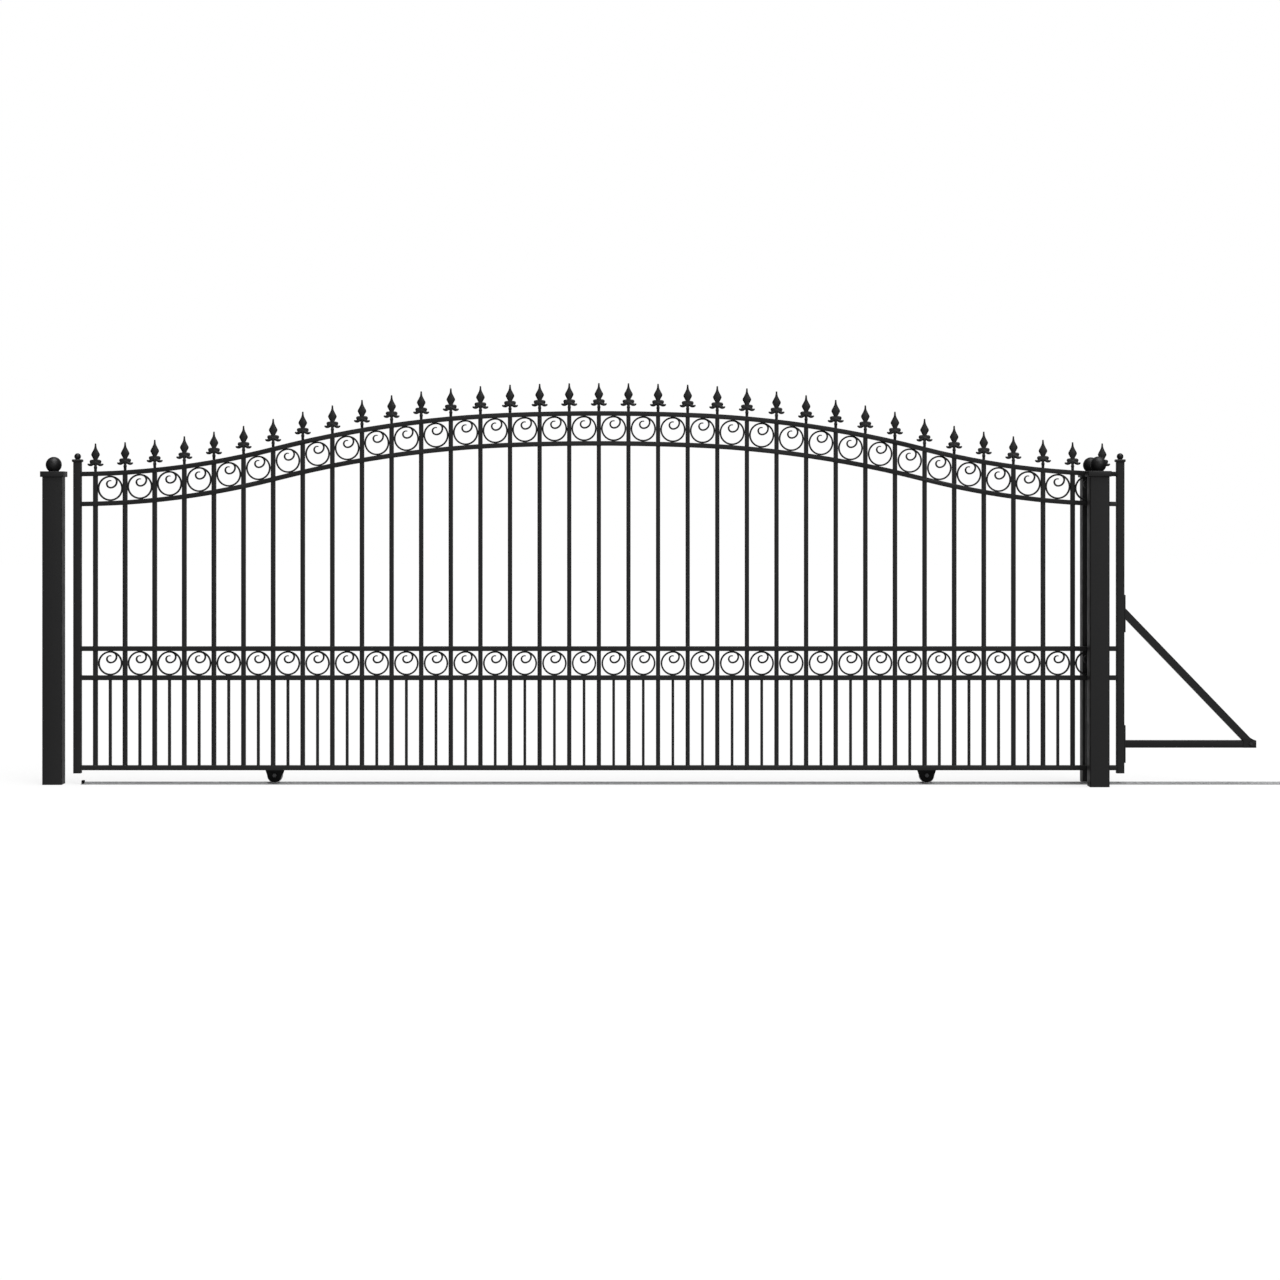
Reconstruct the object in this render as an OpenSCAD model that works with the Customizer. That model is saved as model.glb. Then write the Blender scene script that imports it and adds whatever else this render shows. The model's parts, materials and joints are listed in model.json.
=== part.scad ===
// Sliding driveway gate with an arched top: a steel leaf on two grooved wheels,
// the ground track, one catch post and a pair of guide posts with rollers.
// X runs along the gate and opens towards +X, -Y is the street side, Z is up.

/* [Leaf frame] */
// Length of the leaf over its two frame posts
leaf_length = 5486; // [4500:2:6600]
// Side of the square frame post tube
frame_tube = 40; // [30:1:50]
// Wall of the frame post tube
frame_wall = 2; // [1.5:0.5:4]
// Height of the frame posts' lower ends above the ground
frame_bottom = 57; // [50:1:70]
// Height of a rail tube
rail_height = 24; // [20:1:30]
// Depth of a rail tube, front to back
rail_depth = 38; // [34:1:48]
// Wall of a rail tube
rail_wall = 2; // [1.5:0.5:3]
// Height of the underside of the bottom rail above the ground
bottom_rail_z = 73.5; // [70:0.5:110]
// Height of the underside of the mid rail pair above the ground
mid_rail_z = 543.5; // [400:0.5:700]
// Clear gap between the two mid rails
band_gap = 128; // [90:1:160]

/* [Arch] */
// Height of the upper arched rail's top edge where it meets the frame posts
arch_end_z = 1631.5; // [1400:0.5:1900]
// Steepest slope of the arch in degrees
arch_slope = 14.39; // [8:0.01:16]
// Radius of the flat middle stretch of the arch
arch_crown_radius = 12650; // [9000:50:20000]
// Half length of the flat middle stretch
arch_crown_half = 484; // [200:2:700]
// Distance from the leaf's end to the point where the arch turns over
arch_bend_inset = 1045; // [700:5:1200]
// Distance from the leaf's end to the point where the arch is level again
arch_level_inset = 11; // [0:1:40]
// Clear gap between the two arched rails, measured upright at the middle
arch_gap = 132.5; // [90:0.5:160]

/* [Pickets] */
// Nominal distance from one tall picket to the next
picket_spacing = 154.7; // [110:0.1:200]
// Distance from the leaf's end to the middle of the first tall picket
picket_end_inset = 113.4; // [90:0.1:160]
// Width of a tall picket
picket_width = 22; // [16:1:26]
// Depth of a tall picket, front to back
picket_depth = 32; // [20:1:33]
// Wall of a tall picket
picket_wall = 1.5; // [1:0.5:3]
// Width of a short picket
short_picket_width = 14; // [10:1:20]
// Depth of a short picket, front to back
short_picket_depth = 24; // [12:1:32]
// Gap on each side of a picket in a punched hole
punch_clearance = 0.3; // [0.2:0.1:0.6]

/* [Scrolls] */
// Thickness of the scroll bar, seen from the front
scroll_bar = 9; // [5:1:10]
// Depth of the scroll bar, front to back
scroll_depth = 12; // [8:1:20]
// Gap left between a scroll and what it is welded to
scroll_seat_gap = 0.15; // [0.1:0.05:0.3]
// Depth by which the curl sits inside the ring where it leaves it
scroll_lap = 0.4; // [0.3:0.1:1]

/* [Spear finials] */
// Height of a spear's tip above the upper arched rail
spear_height = 147; // [120:1:180]
// Thickness of a spear's flat casting
spear_thickness = 9; // [6:1:12]
// Diameter of a spear's stem
spear_stem_d = 13; // [10:0.5:16]
// Gap around the stem in its hole in the rail
stem_clearance = 0.2; // [0.1:0.1:0.5]

/* [Caps and balls of the frame posts] */
// Height of the frame cap's lower edge above the arch's ends
frame_cap_rise = 50.5; // [40:0.5:70]
// Side of a frame cap
frame_cap_side = 51; // [46:1:60]
// Height of a frame cap
frame_cap_height = 14.5; // [12:0.5:20]
// Diameter of a frame post's ball
frame_ball_d = 35; // [28:1:40]
// Depth to which a frame post's ball is ground flat
frame_ball_flat = 3; // [1:0.5:5]

/* [Ground posts] */
// Side of the square ground post tube
post_tube = 101.6; // [80:0.1:120]
// Wall of the ground post tube
post_wall = 4; // [3:0.5:6]
// Height of the lower edge of a ground post's cap
post_cap_z = 1604; // [1300:1:1800]
// Side of a ground post's cap
post_cap_side = 120; // [114:1:150]
// Height of a ground post's cap
post_cap_height = 29.5; // [24:0.5:40]
// Thickness of a ground post cap's top plate
post_cap_plate = 6; // [4:1:10]
// Diameter of a ground post's ball
post_ball_d = 83; // [70:1:95]
// Depth to which a ground post's ball is ground flat
post_ball_flat = 7; // [3:0.5:12]
// Gap between the closed leaf and the catch post
catch_gap = 54; // [20:1:90]
// Distance from the leaf's right end back to the middle of the guide posts
guide_inset = 153; // [130:1:250]
// Clear gap between the two guide posts, front to back
guide_gap = 148.4; // [140:0.2:200]
// Gap between a cap's skirt and its tube
cap_clearance = 0.2; // [0.1:0.1:0.5]

/* [Guide rollers] */
// Diameter of a guide roller
roller_d = 40; // [30:1:50]
// Height of a guide roller
roller_height = 40; // [30:1:50]
// Play between a roller and the rail it steadies
roller_play = 0.5; // [0.4:0.1:2]
// Diameter of a roller's pin
roller_pin_d = 12; // [8:1:14]
// Thickness of the roller bracket's plate
bracket_plate = 5; // [4:1:8]
// Width of the roller bracket along the gate
bracket_width = 56; // [44:1:80]
// Distance from the bracket's middle up or down to a fixing bolt
bracket_bolt_reach = 42; // [38:1:48]
// Diameter of a bracket fixing bolt
bracket_bolt_d = 8; // [6:1:10]
// Radial running clearance on pins and axles
running_clearance = 0.05; // [0.02:0.01:0.1]

/* [Wheels] */
// Outer diameter of a grooved wheel
wheel_d = 80; // [74:1:86]
// Height of a wheel's rim above the ground
wheel_rim_z = 7; // [5:0.5:9]
// Width of a grooved wheel
wheel_width = 24; // [22:1:26]
// Diameter of a wheel's bearing
bearing_d = 32; // [28:1:40]
// Width of the bearing pair in a wheel
bearing_width = 20; // [16:1:22]
// Diameter of a wheel's axle bolt
axle_d = 12; // [10:1:14]
// Number of pickets from the leaf's end to the one above a wheel
wheel_picket = 6; // [3:1:8]
// Distance of both wheels to the right of the pickets above them
wheel_shift = 10; // [-20:1:20]
// Thickness of a wheel's side plate
fork_plate = 3; // [2:0.5:4]
// Half width of a side plate at the rail
fork_top_half = 48; // [44:1:60]
// Radius of a side plate's round lower end
fork_radius = 37; // [30:1:39]

/* [Ground track] */
// Height of the track's ridge above the ground
ridge_height = 13; // [12:0.5:18]
// Thickness of the track's base strip
track_strip = 3; // [2:0.5:4]
// Width of the track's base strip
track_width = 60; // [50:1:90]
// Joint between two lengths of track
track_joint = 0.6; // [0.4:0.1:3]
// Distance between the two rows of anchor holes
anchor_spacing_y = 40; // [34:1:70]
// Distance between neighbouring anchor holes along the track
anchor_spacing_x = 650; // [400:5:660]
// Diameter of an anchor hole
anchor_hole_d = 9; // [7:0.5:12]
// Gap from the wheel's groove down to the ridge
ridge_clearance = 0.45; // [0.4:0.05:1]
// Distance that the open leaf's end stands clear of the guide posts
open_reach = 102; // [100:1:300]
// Thickness of an end stop, along the track
stop_length = 14; // [10:1:30]
// Height of an end stop above the track's base strip
stop_height = 17; // [14:1:30]

/* [Tail] */
// Length of the tail beyond the leaf's right end
tail_length = 685; // [500:5:900]
// Side of the square tail tubes
tail_tube = 38; // [30:1:40]
// Wall of the tail tubes
tail_wall = 2; // [1.5:0.5:3]
// Height of the middle of the tail bar
tail_bar_z = 210; // [180:1:300]
// Height at which the middle of the brace meets its plate
tail_brace_z = 891; // [700:1:1000]
// Distance from the tail's end back to the bolt where brace and bar meet
tail_bolt_inset = 26; // [22:1:40]
// Height of a tail plate
tail_plate_height = 195; // [170:1:240]
// Thickness of a tail plate
tail_plate = 6; // [5:1:8]
// Distance from a tail plate's middle up or down to its bolts
tail_plate_bolt_reach = 80; // [70:1:90]
// Diameter of a tail bolt
tail_bolt_d = 10; // [8:1:12]
// Length of the corner cheeks along the bar
cheek_length = 65; // [60:1:90]
// Thickness of a corner cheek
cheek_plate = 3; // [2:0.5:4]
// Thickness of the plug in the tail bar's open end
plug_flange = 3; // [2:0.5:5]

/* [Hidden] */

$fn = 64;
// The track is laid in four lengths, each its own node
track_sections = 4;
// Segments of a full circle for the long radii of the arch
ARCH_FN = 1440;
// Overshoot of a cutting tool past the face it cuts
CUT = 1;
// Angle by which one bend of the arch laps the bend before it
BEND_LAP = 0.001;
// Depth by which a straight edge dips into the round end that it runs into
TANGENT_LAP = 0.2;
PAINT = [0.10, 0.10, 0.11];
CAST_PAINT = [0.14, 0.14, 0.15];
ZINC = [0.66, 0.68, 0.70];
STEEL = [0.52, 0.53, 0.55];
NYLON = [0.16, 0.16, 0.17];
RUBBER = [0.05, 0.05, 0.05];

leaf_half = leaf_length / 2;
rail_end = leaf_half - frame_tube;
bottom_rail_top = bottom_rail_z + rail_height;
mid_upper_z = mid_rail_z + rail_height + band_gap;
mid_lower_mid = mid_rail_z + rail_height / 2;
mid_upper_mid = mid_upper_z + rail_height / 2;

// The arch is five tangent bends: a flat crown, two shoulders that fall away
// from it, and two end bends that turn the rail level again at the frame posts.
bend_x = leaf_half - arch_bend_inset;
level_x = leaf_half - arch_level_inset;
crown_angle = asin(arch_crown_half / arch_crown_radius);
shoulder_radius = (bend_x - arch_crown_half) / (sin(arch_slope) - sin(crown_angle));
end_radius = (level_x - bend_x) / sin(arch_slope);
crown_drop = arch_crown_radius * (1 - cos(crown_angle));
shoulder_drop = shoulder_radius * (cos(crown_angle) - cos(arch_slope));
end_drop = end_radius * (1 - cos(arch_slope));
crown_z = arch_end_z + crown_drop + shoulder_drop + end_drop;
shoulder_x = arch_crown_half - shoulder_radius * sin(crown_angle);
shoulder_z = crown_z - crown_drop - shoulder_radius * cos(crown_angle);
end_centre_z = arch_end_z + end_radius;
arch_pair_drop = rail_height + arch_gap;

picket_bays = round((leaf_length - 2 * picket_end_inset) / picket_spacing);
picket_pitch = (leaf_length - 2 * picket_end_inset) / picket_bays;
bay_clear = picket_pitch - picket_width;
spear_stem_depth = rail_wall + 4;

frame_cap_z = arch_end_z + frame_cap_rise;
frame_cap_plate = 4;
frame_cap_edge = 4.5;
frame_top = frame_cap_z + frame_cap_height - frame_cap_plate;
post_top = post_cap_z + post_cap_height - post_cap_plate;
catch_x = -leaf_half - catch_gap - post_tube / 2;
guide_x = leaf_half - guide_inset;
guide_y = (guide_gap + post_tube) / 2;

wheel_r = wheel_d / 2;
wheel_z = wheel_rim_z + wheel_r;
groove_r = wheel_z - ridge_height - ridge_clearance;
bearing_bore_d = axle_d + 2 * running_clearance;
wheel_gap = 0.3;
fork_inner_y = rail_depth / 2 - fork_plate;
left_wheel_x = -leaf_half + picket_end_inset + wheel_picket * picket_pitch + wheel_shift;
right_wheel_x = leaf_half - picket_end_inset - wheel_picket * picket_pitch + wheel_shift;
wheel_slot_half = sqrt(pow(wheel_r, 2) - pow(bottom_rail_z - wheel_z, 2)) + 6;
wheel_slot_width = wheel_width + 4;

travel = guide_x - post_tube / 2 - open_reach + leaf_half;
stop_contact = sqrt(pow(wheel_r, 2) - pow(wheel_z - track_strip - stop_height, 2));
track_start = -leaf_half + frame_tube + 2;
track_reach = right_wheel_x + travel + stop_contact + 2 + stop_length;
// The track is cut to the tenth of a millimetre
section_length = round(10 * (track_reach - track_start) / track_sections) / 10;
track_end = track_start + track_sections * section_length;

roller_y = rail_depth / 2 + roller_play + roller_d / 2;
roller_bore_d = roller_pin_d + 2 * running_clearance;
ear_gap = roller_height + 1;
ear_tip_y = roller_y - 14;
ear_outer = ear_gap / 2 + bracket_plate;
bracket_height = 2 * bracket_bolt_reach + 26;
pin_nut_height = 8;
pin_head_height = 7;
roller_heights = [mid_lower_mid, mid_upper_mid];

tail_plate_x = leaf_half + tail_plate;
tail_end_x = leaf_half + tail_length;
tail_bolt_x = tail_end_x - tail_bolt_inset;
tail_bolt_z = tail_bar_z + 3;
tail_bar_top = tail_bar_z + tail_tube / 2;
brace_angle = atan((tail_brace_z - tail_bolt_z) / (tail_bolt_x - tail_plate_x));
brace_run = (tail_bolt_x - tail_plate_x) / cos(brace_angle);
tail_bolt_clear_d = tail_bolt_d + 0.6;
sunk_head_height = 0.4 * tail_bolt_d;
sunk_head_d = 1.8 * tail_bolt_d;
tail_nut_height = 8;
corner_bolt_half = tail_tube / 2 + cheek_plate;

// Height of the upper arched rail's top edge at a distance x from the middle
function arch_z(x) =
    abs(x) < arch_crown_half
        ? crown_z - arch_crown_radius + sqrt(pow(arch_crown_radius, 2) - pow(x, 2))
    : abs(x) < bend_x
        ? shoulder_z + sqrt(pow(shoulder_radius, 2) - pow(abs(x) - shoulder_x, 2))
    : end_centre_z - sqrt(pow(end_radius, 2) - pow(level_x - abs(x), 2));

// Slope of the arch at a distance x from the middle, in degrees, always positive
function arch_tilt(x) =
    abs(x) < arch_crown_half ? asin(abs(x) / arch_crown_radius)
    : abs(x) < bend_x ? asin((abs(x) - shoulder_x) / shoulder_radius)
    : asin(abs(level_x - abs(x)) / end_radius);

function picket_x(i) = -leaf_half + picket_end_inset + i * picket_pitch;
function bay_x(i) = picket_x(i) + picket_pitch / 2;

// Height of the middle of the space between the two arched rails
function arch_bay_z(x) =
    arch_z(x) - rail_height / cos(arch_tilt(x)) - arch_bay_clear(x) / 2;
function arch_bay_clear(x) = arch_pair_drop - rail_height / cos(arch_tilt(x));

// Outer radius of a scroll that just fits its bay
function arch_scroll_r(x) =
    min(bay_clear, arch_bay_clear(x) * cos(arch_tilt(x))) / 2 - scroll_seat_gap;
band_scroll_r = min(bay_clear, band_gap) / 2 - scroll_seat_gap;

// A tube along X, Y or Z is a box less a smaller box
module box_tube(width, depth, length, wall) {
    difference() {
        translate([-width / 2, -depth / 2, 0])
            cube([width, depth, length]);
        translate([-width / 2 + wall, -depth / 2 + wall, -CUT])
            cube([width - 2 * wall, depth - 2 * wall, length + 2 * CUT]);
    }
}

// A straight rail between the frame posts, with its underside at height z
module straight_rail(z) {
    translate([-rail_end, 0, z + rail_height / 2])
        rotate([0, 90, 0])
            box_tube(rail_height, rail_depth, 2 * rail_end, rail_wall);
}

module rail_section() {
    difference() {
        translate([0, -rail_depth / 2])
            square([rail_height, rail_depth]);
        translate([rail_wall, rail_wall - rail_depth / 2])
            square([rail_height - 2 * rail_wall, rail_depth - 2 * rail_wall]);
    }
}

// A bend that turns the rail downwards, from a start at the origin heading along +X
module bend_down(radius, sweep) {
    translate([0, 0, -radius])
        rotate([90, 0, 0])
            rotate_extrude(angle = sweep + BEND_LAP, start = 90 - sweep, $fn = ARCH_FN)
                translate([radius - rail_height, 0])
                    rail_section();
}

// A bend that turns the rail upwards again
module bend_up(radius, sweep) {
    translate([0, 0, radius])
        rotate([90, 0, 0])
            rotate_extrude(angle = sweep + BEND_LAP, start = 270 - BEND_LAP, $fn = ARCH_FN)
                translate([radius, 0])
                    rail_section();
}

// Moves its children to the end of a downward bend and turns them with it
module after_bend_down(radius, sweep) {
    translate([radius * sin(sweep), 0, -radius * (1 - cos(sweep))])
        rotate([0, sweep, 0])
            children();
}

module half_arch() {
    shoulder_sweep = arch_slope - crown_angle;
    bend_down(arch_crown_radius, crown_angle);
    after_bend_down(arch_crown_radius, crown_angle) {
        bend_down(shoulder_radius, shoulder_sweep);
        after_bend_down(shoulder_radius, shoulder_sweep)
            bend_up(end_radius, arch_slope);
    }
}

module arch_rail() {
    intersection() {
        translate([0, 0, crown_z]) {
            half_arch();
            mirror([1, 0, 0])
                half_arch();
        }
        translate([-rail_end, -rail_depth, 0])
            cube([2 * rail_end, 2 * rail_depth, 2 * crown_z]);
    }
}

// Punched holes for all tall pickets, between two heights
module punches(low, high) {
    punch_width = picket_width + 2 * punch_clearance;
    punch_depth = picket_depth + 2 * punch_clearance;
    for (i = [0 : picket_bays])
        translate([picket_x(i) - punch_width / 2, -punch_depth / 2, low])
            cube([punch_width, punch_depth, high - low]);
}

module left_frame_post() {
    color(PAINT)
        translate([-leaf_half + frame_tube / 2, 0, frame_bottom])
            box_tube(frame_tube, frame_tube, frame_top - frame_bottom, frame_wall);
}

module right_frame_post() {
    color(PAINT)
        difference() {
            translate([leaf_half - frame_tube / 2, 0, frame_bottom])
                box_tube(frame_tube, frame_tube, frame_top - frame_bottom, frame_wall);
            for (z = tail_plate_bolt_heights())
                translate([leaf_half - frame_wall - CUT, 0, z])
                    rotate([0, 90, 0])
                        cylinder(h = frame_wall + 2 * CUT, d = tail_bolt_clear_d);
        }
}

// A square with rounded upper and lower edges, as a flat outline
module rounded_slab_outline(width, height, edge) {
    translate([-width / 2, edge])
        square([width, height - 2 * edge]);
    translate([-width / 2 + edge, 0])
        square([width - 2 * edge, height]);
    for (x = [-1, 1], z = [edge, height - edge])
        translate([x * (width / 2 - edge), z])
            circle(r = edge);
}

module rounded_slab(width, height, edge) {
    intersection() {
        rotate([90, 0, 0])
            linear_extrude(2 * width, center = true)
                rounded_slab_outline(width, height, edge);
        rotate([90, 0, 90])
            linear_extrude(2 * width, center = true)
                rounded_slab_outline(width, height, edge);
    }
}

module frame_post_caps() {
    socket = frame_tube + 2 * cap_clearance;
    color(PAINT)
        for (side = [-1, 1])
            translate([side * (leaf_half - frame_tube / 2), 0, frame_cap_z])
                difference() {
                    rounded_slab(frame_cap_side, frame_cap_height, frame_cap_edge);
                    translate([-socket / 2, -socket / 2, -CUT])
                        cube([socket, socket, frame_cap_height - frame_cap_plate + CUT]);
                }
}

// A ball ground flat underneath, standing on height zero
module flat_ball(diameter, flat) {
    intersection() {
        translate([0, 0, diameter / 2 - flat])
            sphere(d = diameter);
        translate([-diameter, -diameter, 0])
            cube(2 * diameter);
    }
}

module frame_post_balls() {
    color(PAINT)
        for (side = [-1, 1])
            translate([side * (leaf_half - frame_tube / 2), 0, frame_cap_z + frame_cap_height])
                flat_ball(frame_ball_d, frame_ball_flat);
}

module bottom_rail() {
    color(PAINT)
        difference() {
            straight_rail(bottom_rail_z);
            for (x = [left_wheel_x, right_wheel_x])
                translate([x - wheel_slot_half, -wheel_slot_width / 2, bottom_rail_z - CUT])
                    cube([2 * wheel_slot_half, wheel_slot_width, rail_wall + 2 * CUT]);
        }
}

module mid_lower_rail() {
    color(PAINT)
        difference() {
            straight_rail(mid_rail_z);
            punches(mid_rail_z - CUT, mid_rail_z + rail_height + CUT);
        }
}

module mid_upper_rail() {
    color(PAINT)
        difference() {
            straight_rail(mid_upper_z);
            punches(mid_upper_z - CUT, mid_upper_z + rail_height + CUT);
        }
}

module lower_arch_rail() {
    color(PAINT)
        difference() {
            translate([0, 0, -arch_pair_drop])
                arch_rail();
            punches(arch_end_z - 2 * arch_pair_drop, crown_z);
        }
}

module upper_arch_rail() {
    punch_width = picket_width + 2 * punch_clearance;
    punch_depth = picket_depth + 2 * punch_clearance;
    color(PAINT)
        difference() {
            arch_rail();
            for (i = [0 : picket_bays])
                translate([picket_x(i), 0, arch_z(picket_x(i)) - rail_height / 2]) {
                    translate([-punch_width / 2, -punch_depth / 2, -rail_height])
                        cube([punch_width, punch_depth, rail_height]);
                    cylinder(h = rail_height, d = spear_stem_d + 2 * stem_clearance);
                }
        }
}

// Top of a tall picket, just under the upper wall of the arched rail
function picket_top(x) =
    arch_z(x) - rail_wall / cos(arch_tilt(x)) - picket_width / 2 * tan(arch_tilt(x)) - 1;

module tall_pickets() {
    color(PAINT)
        for (i = [0 : picket_bays])
            translate([picket_x(i), 0, bottom_rail_top])
                box_tube(picket_width, picket_depth, picket_top(picket_x(i)) - bottom_rail_top, picket_wall);
}

module short_pickets() {
    color(PAINT)
        for (i = [0 : picket_bays - 1])
            translate([bay_x(i), 0, bottom_rail_top])
                box_tube(short_picket_width, short_picket_depth, mid_rail_z - bottom_rail_top, picket_wall);
}

// One bend of a scroll bar with its middle line on the given radius
module scroll_bend(centre, radius, from_angle, to_angle) {
    translate([centre[0], 0, centre[1]])
        rotate([90, 0, 0])
            rotate_extrude(angle = to_angle - from_angle, start = from_angle, $fn = 96)
                translate([radius - scroll_bar / 2, -scroll_depth / 2])
                    square([scroll_bar, scroll_depth]);
}

// A length rounded to the hundredth of a millimetre that the bends are set to
function bend_setting(length) = round(length * 100) / 100;

// A ring whose bar leaves it near the top and curls inwards in four bends
module scroll(outer_r) {
    ring_r = bend_setting(outer_r) - scroll_bar / 2;
    leave_angle = 76;
    curl = [for (share = [0.405, 0.52, 0.325, 0.275]) bend_setting(share * ring_r)];
    start_r = ring_r - scroll_lap - curl[0];
    first = [bend_setting(start_r * cos(leave_angle)), bend_setting(start_r * sin(leave_angle))];
    second = first + [curl[0] - curl[1], 0];
    third = second + [0, curl[2] - curl[1]];
    fourth = third + [curl[3] - curl[2], 0];
    scroll_bend([0, 0], ring_r, 0, 360);
    scroll_bend(first, curl[0], 0, leave_angle);
    scroll_bend(second, curl[1], -90, 0);
    scroll_bend(third, curl[2], -180, -90);
    scroll_bend(fourth, curl[3], 68, 180);
}

module arch_scrolls() {
    color(PAINT)
        for (i = [0 : picket_bays - 1])
            translate([bay_x(i), 0, arch_bay_z(bay_x(i))])
                scroll(arch_scroll_r(bay_x(i)));
}

module band_scrolls() {
    color(PAINT)
        for (i = [0 : picket_bays - 1])
            translate([bay_x(i), 0, mid_rail_z + rail_height + band_gap / 2])
                scroll(band_scroll_r);
}

// Outline of the spear's casting, from its lower curls to the needle tip
module spear_outline() {
    blade_top = spear_height - 19;
    polygon([
        [-1.7, spear_height], [1.7, spear_height], [2.2, blade_top], [21.5, 89],
        [9, 62], [8, 44], [-8, 44], [-9, 62], [-21.5, 89], [-2.2, blade_top]
    ]);
    for (side = [-1, 1]) {
        translate([side * 11, 56])
            circle(r = 9);
        translate([side * 22, 55])
            circle(r = 9.5);
        difference() {
            translate([side * 24, 52])
                circle(r = 18);
            translate([side * 24, 59])
                circle(r = 16);
            translate([side * 24 - 20, 48])
                square([40, 40]);
        }
        translate([side * 37.5, 44])
            circle(r = 3.6);
    }
}

module spear() {
    rotate([90, 0, 0])
        linear_extrude(spear_thickness, center = true)
            spear_outline();
    translate([0, 0, -spear_stem_depth])
        cylinder(h = spear_stem_depth + 50, d = spear_stem_d);
    translate([0, 0, 16])
        cylinder(h = 6, d1 = spear_stem_d, d2 = 17);
    translate([0, 0, 22])
        cylinder(h = 6, d1 = 17, d2 = spear_stem_d);
}

module spear_finials() {
    color(CAST_PAINT)
        for (i = [0 : picket_bays])
            translate([picket_x(i), 0, arch_z(picket_x(i))])
                spear();
}

// A ground post with clearance holes for its roller brackets on the face towards side
module guide_post(side) {
    difference() {
        translate([guide_x, side * guide_y, 0])
            box_tube(post_tube, post_tube, post_top, post_wall);
        for (z = roller_heights, reach = [-1, 1])
            translate([guide_x, side * guide_gap / 2, z + reach * bracket_bolt_reach])
                rotate([90, 0, 0])
                    cylinder(h = 4 * post_wall, d = bracket_bolt_d + 0.2, center = true);
    }
}

module post_cap(x, y) {
    socket = post_tube + 2 * cap_clearance;
    translate([x, y, post_cap_z])
        difference() {
            translate([-post_cap_side / 2, -post_cap_side / 2, 0])
                cube([post_cap_side, post_cap_side, post_cap_height]);
            translate([-socket / 2, -socket / 2, -CUT])
                cube([socket, socket, post_cap_height - post_cap_plate + CUT]);
        }
}

module post_ball(x, y) {
    translate([x, y, post_cap_z + post_cap_height])
        flat_ball(post_ball_d, post_ball_flat);
}

module catch_post() {
    color(PAINT)
        translate([catch_x, 0, 0])
            box_tube(post_tube, post_tube, post_top, post_wall);
}
module catch_post_cap() { color(PAINT) post_cap(catch_x, 0); }
module catch_post_ball() { color(PAINT) post_ball(catch_x, 0); }
module front_guide_post() { color(PAINT) guide_post(-1); }
module front_guide_post_cap() { color(PAINT) post_cap(guide_x, -guide_y); }
module front_guide_post_ball() { color(PAINT) post_ball(guide_x, -guide_y); }
module rear_guide_post() { color(PAINT) guide_post(1); }
module rear_guide_post_cap() { color(PAINT) post_cap(guide_x, guide_y); }
module rear_guide_post_ball() { color(PAINT) post_ball(guide_x, guide_y); }

// One length of track: a flat strip with a folded ridge and two rows of anchor holes
module track_section(index) {
    low_x = track_start + index * section_length;
    start = index == 0 ? low_x : low_x + track_joint / 2;
    end = index == track_sections - 1
        ? low_x + section_length
        : low_x + section_length - track_joint / 2;
    ridge_start = index == 0 ? start + stop_length : start;
    ridge_end = index == track_sections - 1 ? end - stop_length : end;
    ridge = ridge_height - track_strip;
    color(ZINC)
        difference() {
            union() {
                translate([start, -track_width / 2, 0])
                    cube([end - start, track_width, track_strip]);
                translate([ridge_start, 0, 0])
                    rotate([90, 0, 90])
                        linear_extrude(ridge_end - ridge_start)
                            polygon([
                                [-ridge - CUT, track_strip - CUT],
                                [ridge + CUT, track_strip - CUT],
                                [0, ridge_height]
                            ]);
            }
            for (x = anchor_xs(index), side = [-1, 1])
                translate([x, side * anchor_spacing_y / 2, -CUT])
                    cylinder(h = track_strip + 2 * CUT, d = anchor_hole_d);
        }
}

// Places of the anchor hole pairs of one length of track, four to a length
function anchor_xs(index) =
    let (middle = track_start + (index + 0.5) * section_length)
    [for (step = [-1.5 : 1 : 1.5]) middle + step * anchor_spacing_x];

module track_section_1() { track_section(0); }
module track_section_2() { track_section(1); }
module track_section_3() { track_section(2); }
module track_section_4() { track_section(3); }

module track_end_stops() {
    color(ZINC)
        for (x = [track_start, track_end - stop_length])
            translate([x, -15, track_strip])
                cube([stop_length, 30, stop_height]);
}

// A U-shaped bracket that holds one roller on the inner face of a guide post
module roller_bracket(side, z) {
    back = guide_gap / 2;
    translate([guide_x, 0, z])
        scale([1, side, 1])
            difference() {
                union() {
                    translate([-bracket_width / 2, back - bracket_plate, -bracket_height / 2])
                        cube([bracket_width, bracket_plate, bracket_height]);
                    for (low = [-ear_outer, ear_gap / 2])
                        translate([-bracket_width / 2, ear_tip_y, low])
                            cube([bracket_width, back - ear_tip_y, bracket_plate]);
                }
                translate([0, roller_y, -ear_outer - CUT])
                    cylinder(h = 2 * ear_outer + 2 * CUT, d = roller_pin_d + 0.4);
                for (reach = [-1, 1])
                    translate([0, back, reach * bracket_bolt_reach])
                        rotate([90, 0, 0])
                            cylinder(h = 4 * bracket_plate, d = bracket_bolt_d + 0.6, center = true);
            }
}

module front_roller_brackets() {
    color(ZINC)
        for (z = roller_heights)
            roller_bracket(-1, z);
}

module rear_roller_brackets() {
    color(ZINC)
        for (z = roller_heights)
            roller_bracket(1, z);
}

module roller_pins() {
    color(ZINC)
        for (z = roller_heights, side = [-1, 1])
            translate([guide_x, side * roller_y, z]) {
                translate([0, 0, ear_outer])
                    cylinder(h = pin_head_height, d = roller_pin_d * 1.9, $fn = 6);
                translate([0, 0, -ear_outer - pin_nut_height - 3])
                    cylinder(h = 2 * ear_outer + pin_nut_height + 3 + CUT, d = roller_pin_d);
            }
}

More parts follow.
